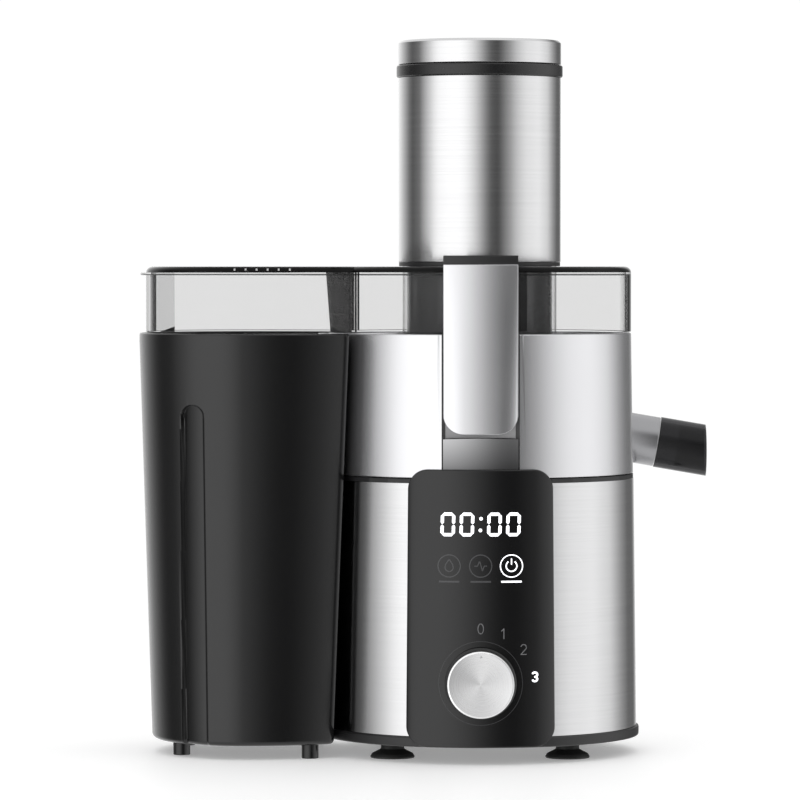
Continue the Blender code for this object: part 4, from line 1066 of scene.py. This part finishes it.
def pair_of_blocks(x, width, near, far, low, high):
    """Two upright blocks, one at the front and one at the back, between near and far from the middle."""
    spans = [sorted((sign * near, sign * far)) for sign in (-1, 1)]
    return [block_mesh((x - width / 2, a, low), (x + width / 2, b, high)) for a, b in spans]


def make_chute():
    low, high = LID_BOTTOM + GAP, LID_TOP - LID_WALL - GAP
    slant, thick, steps = 0.0026, 0.0018, 12
    path = bezier(Vector((-0.0740, 0.0415)), Vector((-0.0815, 0.0400)), Vector((-0.0890, 0.0370)), steps)
    cheeks = []
    for sign in (-1, 1):
        columns = []
        for i, point in enumerate(path):
            low_x = point.x + slant * i / steps
            y, inner_y = sign * point.y, sign * (point.y - thick)
            corners = ((low_x, y, low), (point.x, y, high), (point.x, inner_y, high), (low_x, inner_y, low))
            columns.append([Vector(corner) for corner in corners])
        cheeks.append(lofted(f"cheek_{sign}", columns))
    bridge = block("bridge", (-0.0885, -0.0368, high - 0.0020), (-0.0790, 0.0368, high - 0.0004))
    chute = carved(cheeks[0], (), (cheeks[1], bridge))
    chute.name = "chute_fine"
    dress(chute, CHUTE_GREY, "lid", "smoked_plastic", "pulp_chute")
    for name, finish, strips in (
        ("waist_ribs", CHUTE_GREY, ((-0.0752, 0.0010), (-0.0716, 0.0012))),
        ("waist_beads", CLEAR_RIB, ((-0.0738, 0.0008), (-0.0729, 0.0006))),
    ):
        posts = []
        for x, width in strips:
            posts += pair_of_blocks(x, width, 0.0450, 0.0468, low, high)
        dress(several(name, posts), finish, "lid", "clear_plastic")


def make_tube():
    tube_top = 0.3960
    tube = hoop("tube_fine", TUBE_INNER, TUBE_OUTER, TUBE_BOTTOM, tube_top, 0.0006)
    dress(tube, CLEAR, "lid", "clear_plastic", "feed_tube")
    inner = TUBE_OUTER + GAP
    collar = hoop("collar_fine", inner, 0.0471, LID_TOP + 0.0002, SLEEVE_BOTTOM - 0.0001, 0.0003)
    dress(collar, BLACK, "lid", "black_plastic", "tube_collar")
    sleeve = hoop("sleeve_fine", SLEEVE_RADIUS - 0.001, SLEEVE_RADIUS, SLEEVE_BOTTOM, SLEEVE_TOP, 0.0003)
    dress(sleeve, STEEL, "lid", "brushed_steel", "tube_sleeve")
    low, step = SLEEVE_TOP + 0.0001, tube_top + GAP
    profile = [
        (inner, low), (RING_RADIUS, low), (RING_RADIUS, RING_TOP), (TUBE_INNER, RING_TOP), (TUBE_INNER, step),
        (inner, step),
    ]
    dress(turned("ring_fine", profile, 0.0012), PUSHER_BLACK, "lid", "black_plastic", "tube_rim")


def make_pusher():
    roof, low = CAP_TOP - 0.0012, RING_TOP + 0.0005
    top, floor, hollow, bore = roof - GAP, PUSHER_BOTTOM + 0.004, PUSHER_RADIUS - 0.0022, CAP_RADIUS - 0.0012
    profile = [
        (0, PUSHER_BOTTOM), (PUSHER_RADIUS, PUSHER_BOTTOM), (PUSHER_RADIUS, top), (hollow, top),
        (hollow, floor), (0, floor),
    ]
    dress(turned("pusher_fine", profile, 0.0025), PUSHER_GREY, "pusher", "smoked_plastic", "pusher_body")
    profile = [
        (0, roof), (bore, roof), (bore, low), (CAP_RADIUS, low), (CAP_RADIUS, CAP_TOP - 0.0014),
        (CAP_RADIUS - 0.0014, CAP_TOP), (0, CAP_TOP),
    ]
    dress(turned("cap_fine", profile, 0.0004), STEEL, "pusher", "brushed_steel", "pusher_cap")


# ---------------------------------------------------------------- latches and bin
def make_latches():
    half_width = LATCH_ANGLE * LATCH_OUTER
    head_inner, tower_angle, tower_inner, tower_top = 0.0872, math.radians(13.8), 0.0790, 0.1900
    wall_half, wall_top, lug_half, lug_rise = 0.0200, 0.2095, 0.0105, 0.0042
    for side, back in (("front", False), ("back", True)):
        skin = curved_plate(
            f"latch_skin_{side}_fine", LATCH_ANGLE, rounded_edge(LATCH_BOTTOM, 0.0115, half_width, 1),
            lambda _: SKIN_TOP, lambda _: LATCH_OUTER - 0.0022, lambda _: LATCH_OUTER, 64, 0.0003, back,
        )
        dress(skin, SILVER, f"latch_{side}", "silver_plastic", f"latch_skin_{side}")
        head = curved_plate(
            f"latch_head_{side}", LATCH_ANGLE, lambda _: SKIN_TOP + 0.0002, lambda _: LATCH_TOP,
            lambda _: head_inner, lambda _: LATCH_OUTER + 0.0001, 64, 0.0008, back,
        )
        dress(head, BLACK, f"latch_{side}", "black_plastic")
        head.visible_glossy = False
        tower = curved_plate(
            f"tower_{side}_fine", tower_angle, lambda _: DECK_TOP + GAP, lambda _: tower_top,
            lambda _: tower_inner, lambda _: DECK_RADIUS - 0.0003, 64, 0.0, back,
        )
        face = 1 if back else -1
        pivot = lathe_place((0, face * PIVOT_Y, PIVOT_Z), (1, 0, 0))
        scoop = rod("scoop", SCOOP_RADIUS, -0.030, 0.030, pivot, ROUND)
        near, far = sorted((face * 0.0760, face * 0.0792))
        wall = block("tower_wall", (-wall_half, near, DECK_TOP + GAP), (wall_half, far, wall_top))
        near, far = sorted((face * 0.0780, face * PIVOT_Y))
        lug = block("tower_lug", (-lug_half, near, PIVOT_Z - lug_rise), (lug_half, far, PIVOT_Z + lug_rise))
        carved(tower, (scoop,))
        carved(tower, (), (wall, lug))
        # The tower's lacquer carries painted shade, darker towards the deck under the latch.
        dress(tower, SCOOP_PAINTED_SHADE, "base", "silver_plastic", f"latch_tower_{side}", sharp=25)


def make_bin():
    flute_end = [0.1964 + 0.0004 * i for i in range(20)]
    levels = [0.040, 0.080, 0.120, 0.160, 0.190, *flute_end, 0.210, 0.240]
    bend, lip, inside = 0.0030, 0.0011, BIN_WALL + 0.001
    outer = []
    for turn in quarter(5):
        height = BIN_FLOOR + bend * (1 - math.cos(turn))
        fluted, plain = bin_outline(height), bin_outline(height, False)
        drawn_in = inset(plain, bend * (1 - math.sin(turn)))
        outer.append(ring_at([a + b - c for a, b, c in zip(drawn_in, fluted, plain)], height))
    outer += [ring_at(bin_outline(z), z) for z in levels]
    top = bin_outline(BIN_TOP)
    for k in range(9):
        turn = math.pi * k / 8
        drawn_in = lip + 0.0002 - lip * math.cos(turn)
        outer.append(ring_at(inset(top, drawn_in), BIN_TOP - lip + lip * math.sin(turn)))
    inner = [ring_at(inset(bin_outline(z, False), inside), z) for z in reversed(levels)]
    inner.append(ring_at(inset(bin_outline(BIN_FLOOR, False), inside), BIN_FLOOR + BIN_WALL))
    made = lofted("bin_fine", outer + inner)
    pegs = []
    for x, y in ((-0.173, 0.0295), (-0.098, 0.0500)):
        for sign in (-1, 1):
            place = Matrix.Translation((x, sign * y, 0))
            pegs.append(rod("peg", 0.0050, 0.0, BIN_FLOOR + 0.0015, place, TINY_ROUND, 0.0006))
    carved(made, (), pegs)
    dress(made, BIN_BLACK, "pulp_bin", "black_plastic", "pulp_bin", sharp=30)


make_base()
make_panel()
make_marks()
make_knob()
make_bowl()
make_basket()
make_lid()
make_tube()
make_pusher()
make_latches()
make_bin()


# ---------------------------------------------------------------- floor, light and camera
def make_floor():
    """A pale floor that fades out into the white room."""
    points, faces = [Vector((0, 0, 0))], []
    steps, rings, reach = 96, 24, 4.0
    for k in range(1, rings + 1):
        points += circle(reach * (k / rings) ** 2, steps)
    for i in range(steps):
        faces.append((0, 1 + i, 1 + (i + 1) % steps))
    for k in range(rings - 1):
        a, b = 1 + k * steps, 1 + (k + 1) * steps
        for i in range(steps):
            faces.append((a + i, b + i, b + (i + 1) % steps, a + (i + 1) % steps))
    floor = raw("floor", points, faces)
    paint = Finish("floor_paint", (0.86, 0.86, 0.86), 0.55, Emission_Strength=0.27, Emission_Color=WHITE)
    paint.tint(paint.noise((3, 3, 3), 2.0), (0.85, 0.85, 0.85), (0.875, 0.875, 0.875))
    distance = paint.node("ShaderNodeVectorMath", {0: paint.place((1, 1, 0))}, operation="LENGTH")
    fade = paint.ramp(distance.outputs["Value"], 0.22, 0.85, kind="SMOOTHERSTEP")
    clear = paint.node("ShaderNodeBsdfTransparent").outputs[0]
    paint.finish_with(paint.either(fade, paint.shader.outputs[0], clear))
    floor.data.materials.append(paint.material)
    floor.visible_glossy = False


# Light arriving from each bearing round the object, in degrees clockwise from the camera's side.
ROOM = (
    (-180, 1.16), (-165, 1.10), (-150, 0.98), (-134, 0.62), (-120, 0.25), (-111, 0.13), (-95, 0.23),
    (-85, 0.62), (-75, 1.00), (-68, 1.32), (-60, 1.55), (-45, 1.65), (-28, 1.65), (-20, 1.50),
    (-13.5, 1.29), (-6, 0.98), (1, 0.65), (8, 0.35), (15, 0.156), (25, 0.089), (30, 0.169), (44, 0.50),
    (52, 0.79), (60, 1.00), (70, 1.20), (92, 1.32), (112, 1.02), (121, 0.67), (130, 0.40), (142, 0.18),
    (158, 0.16), (172, 0.80),
)
ABOVE = 1.05  # light from overhead and from below
BACKDROP = 1.02
WHITE = (1.0, 1.0, 1.0, 1.0)


def make_room():
    world = bpy.data.worlds.new("room")
    world.use_nodes = True
    bpy.context.scene.world = world
    bpy.context.scene.view_settings.view_transform = "Standard"
    world.node_tree.nodes.clear()
    room = Nodes(world.node_tree)
    direction = room.node("ShaderNodeTexCoord").outputs["Generated"]
    split = room.node("ShaderNodeSeparateXYZ", {0: direction}).outputs
    bearing = room.calc("ARCTAN2", split["X"], room.calc("MULTIPLY", split["Y"], -1.0))
    share = room.ramp(bearing, -math.pi, math.pi)
    by_bearing = room.node("ShaderNodeValToRGB", {"Fac": share})
    stops = by_bearing.color_ramp.elements
    brightest = max(level for _, level in ROOM)
    while len(stops) > 1:
        stops.remove(stops[0])
    for i, (degrees, level) in enumerate(ROOM):
        position = (degrees + 180) / 360
        stop = stops[0] if i == 0 else stops.new(position)
        stop.position = position
        stop.color = (level / brightest,) * 3 + (1.0,)
    lift = room.ramp(room.calc("ABSOLUTE", split["Z"]), 0.35, 0.75, kind="SMOOTHSTEP")
    sockets = {"A": by_bearing.outputs["Color"], "B": (ABOVE / brightest,) * 3 + (1.0,), "Factor": lift}
    blend = room.node("ShaderNodeMix", sockets, data_type="RGBA").outputs["Result"]
    lit = room.node("ShaderNodeBackground", {"Color": blend, "Strength": brightest}).outputs[0]
    seen = room.node("ShaderNodeBackground", {"Color": WHITE, "Strength": BACKDROP}).outputs[0]
    camera_ray = room.node("ShaderNodeLightPath").outputs["Is Camera Ray"]
    room.node("ShaderNodeOutputWorld", {"Surface": room.either(camera_ray, lit, seen)})


def make_camera():
    camera = bpy.data.objects.new("camera", bpy.data.cameras.new("camera"))
    bpy.context.scene.collection.objects.link(camera)
    camera.data.lens = 225.0
    camera.data.sensor_width = 36.0
    camera.data.clip_start, camera.data.clip_end = 0.1, 100.0
    stand = Vector((-0.0233, -2.925, 0.2824)) + AXIS
    target = Vector((-0.0465, 0.0, 0.2052)) + AXIS
    camera.location = stand
    camera.rotation_euler = (target - stand).to_track_quat("-Z", "Y").to_euler()
    bpy.context.scene.camera = camera


make_floor()
make_room()
make_camera()
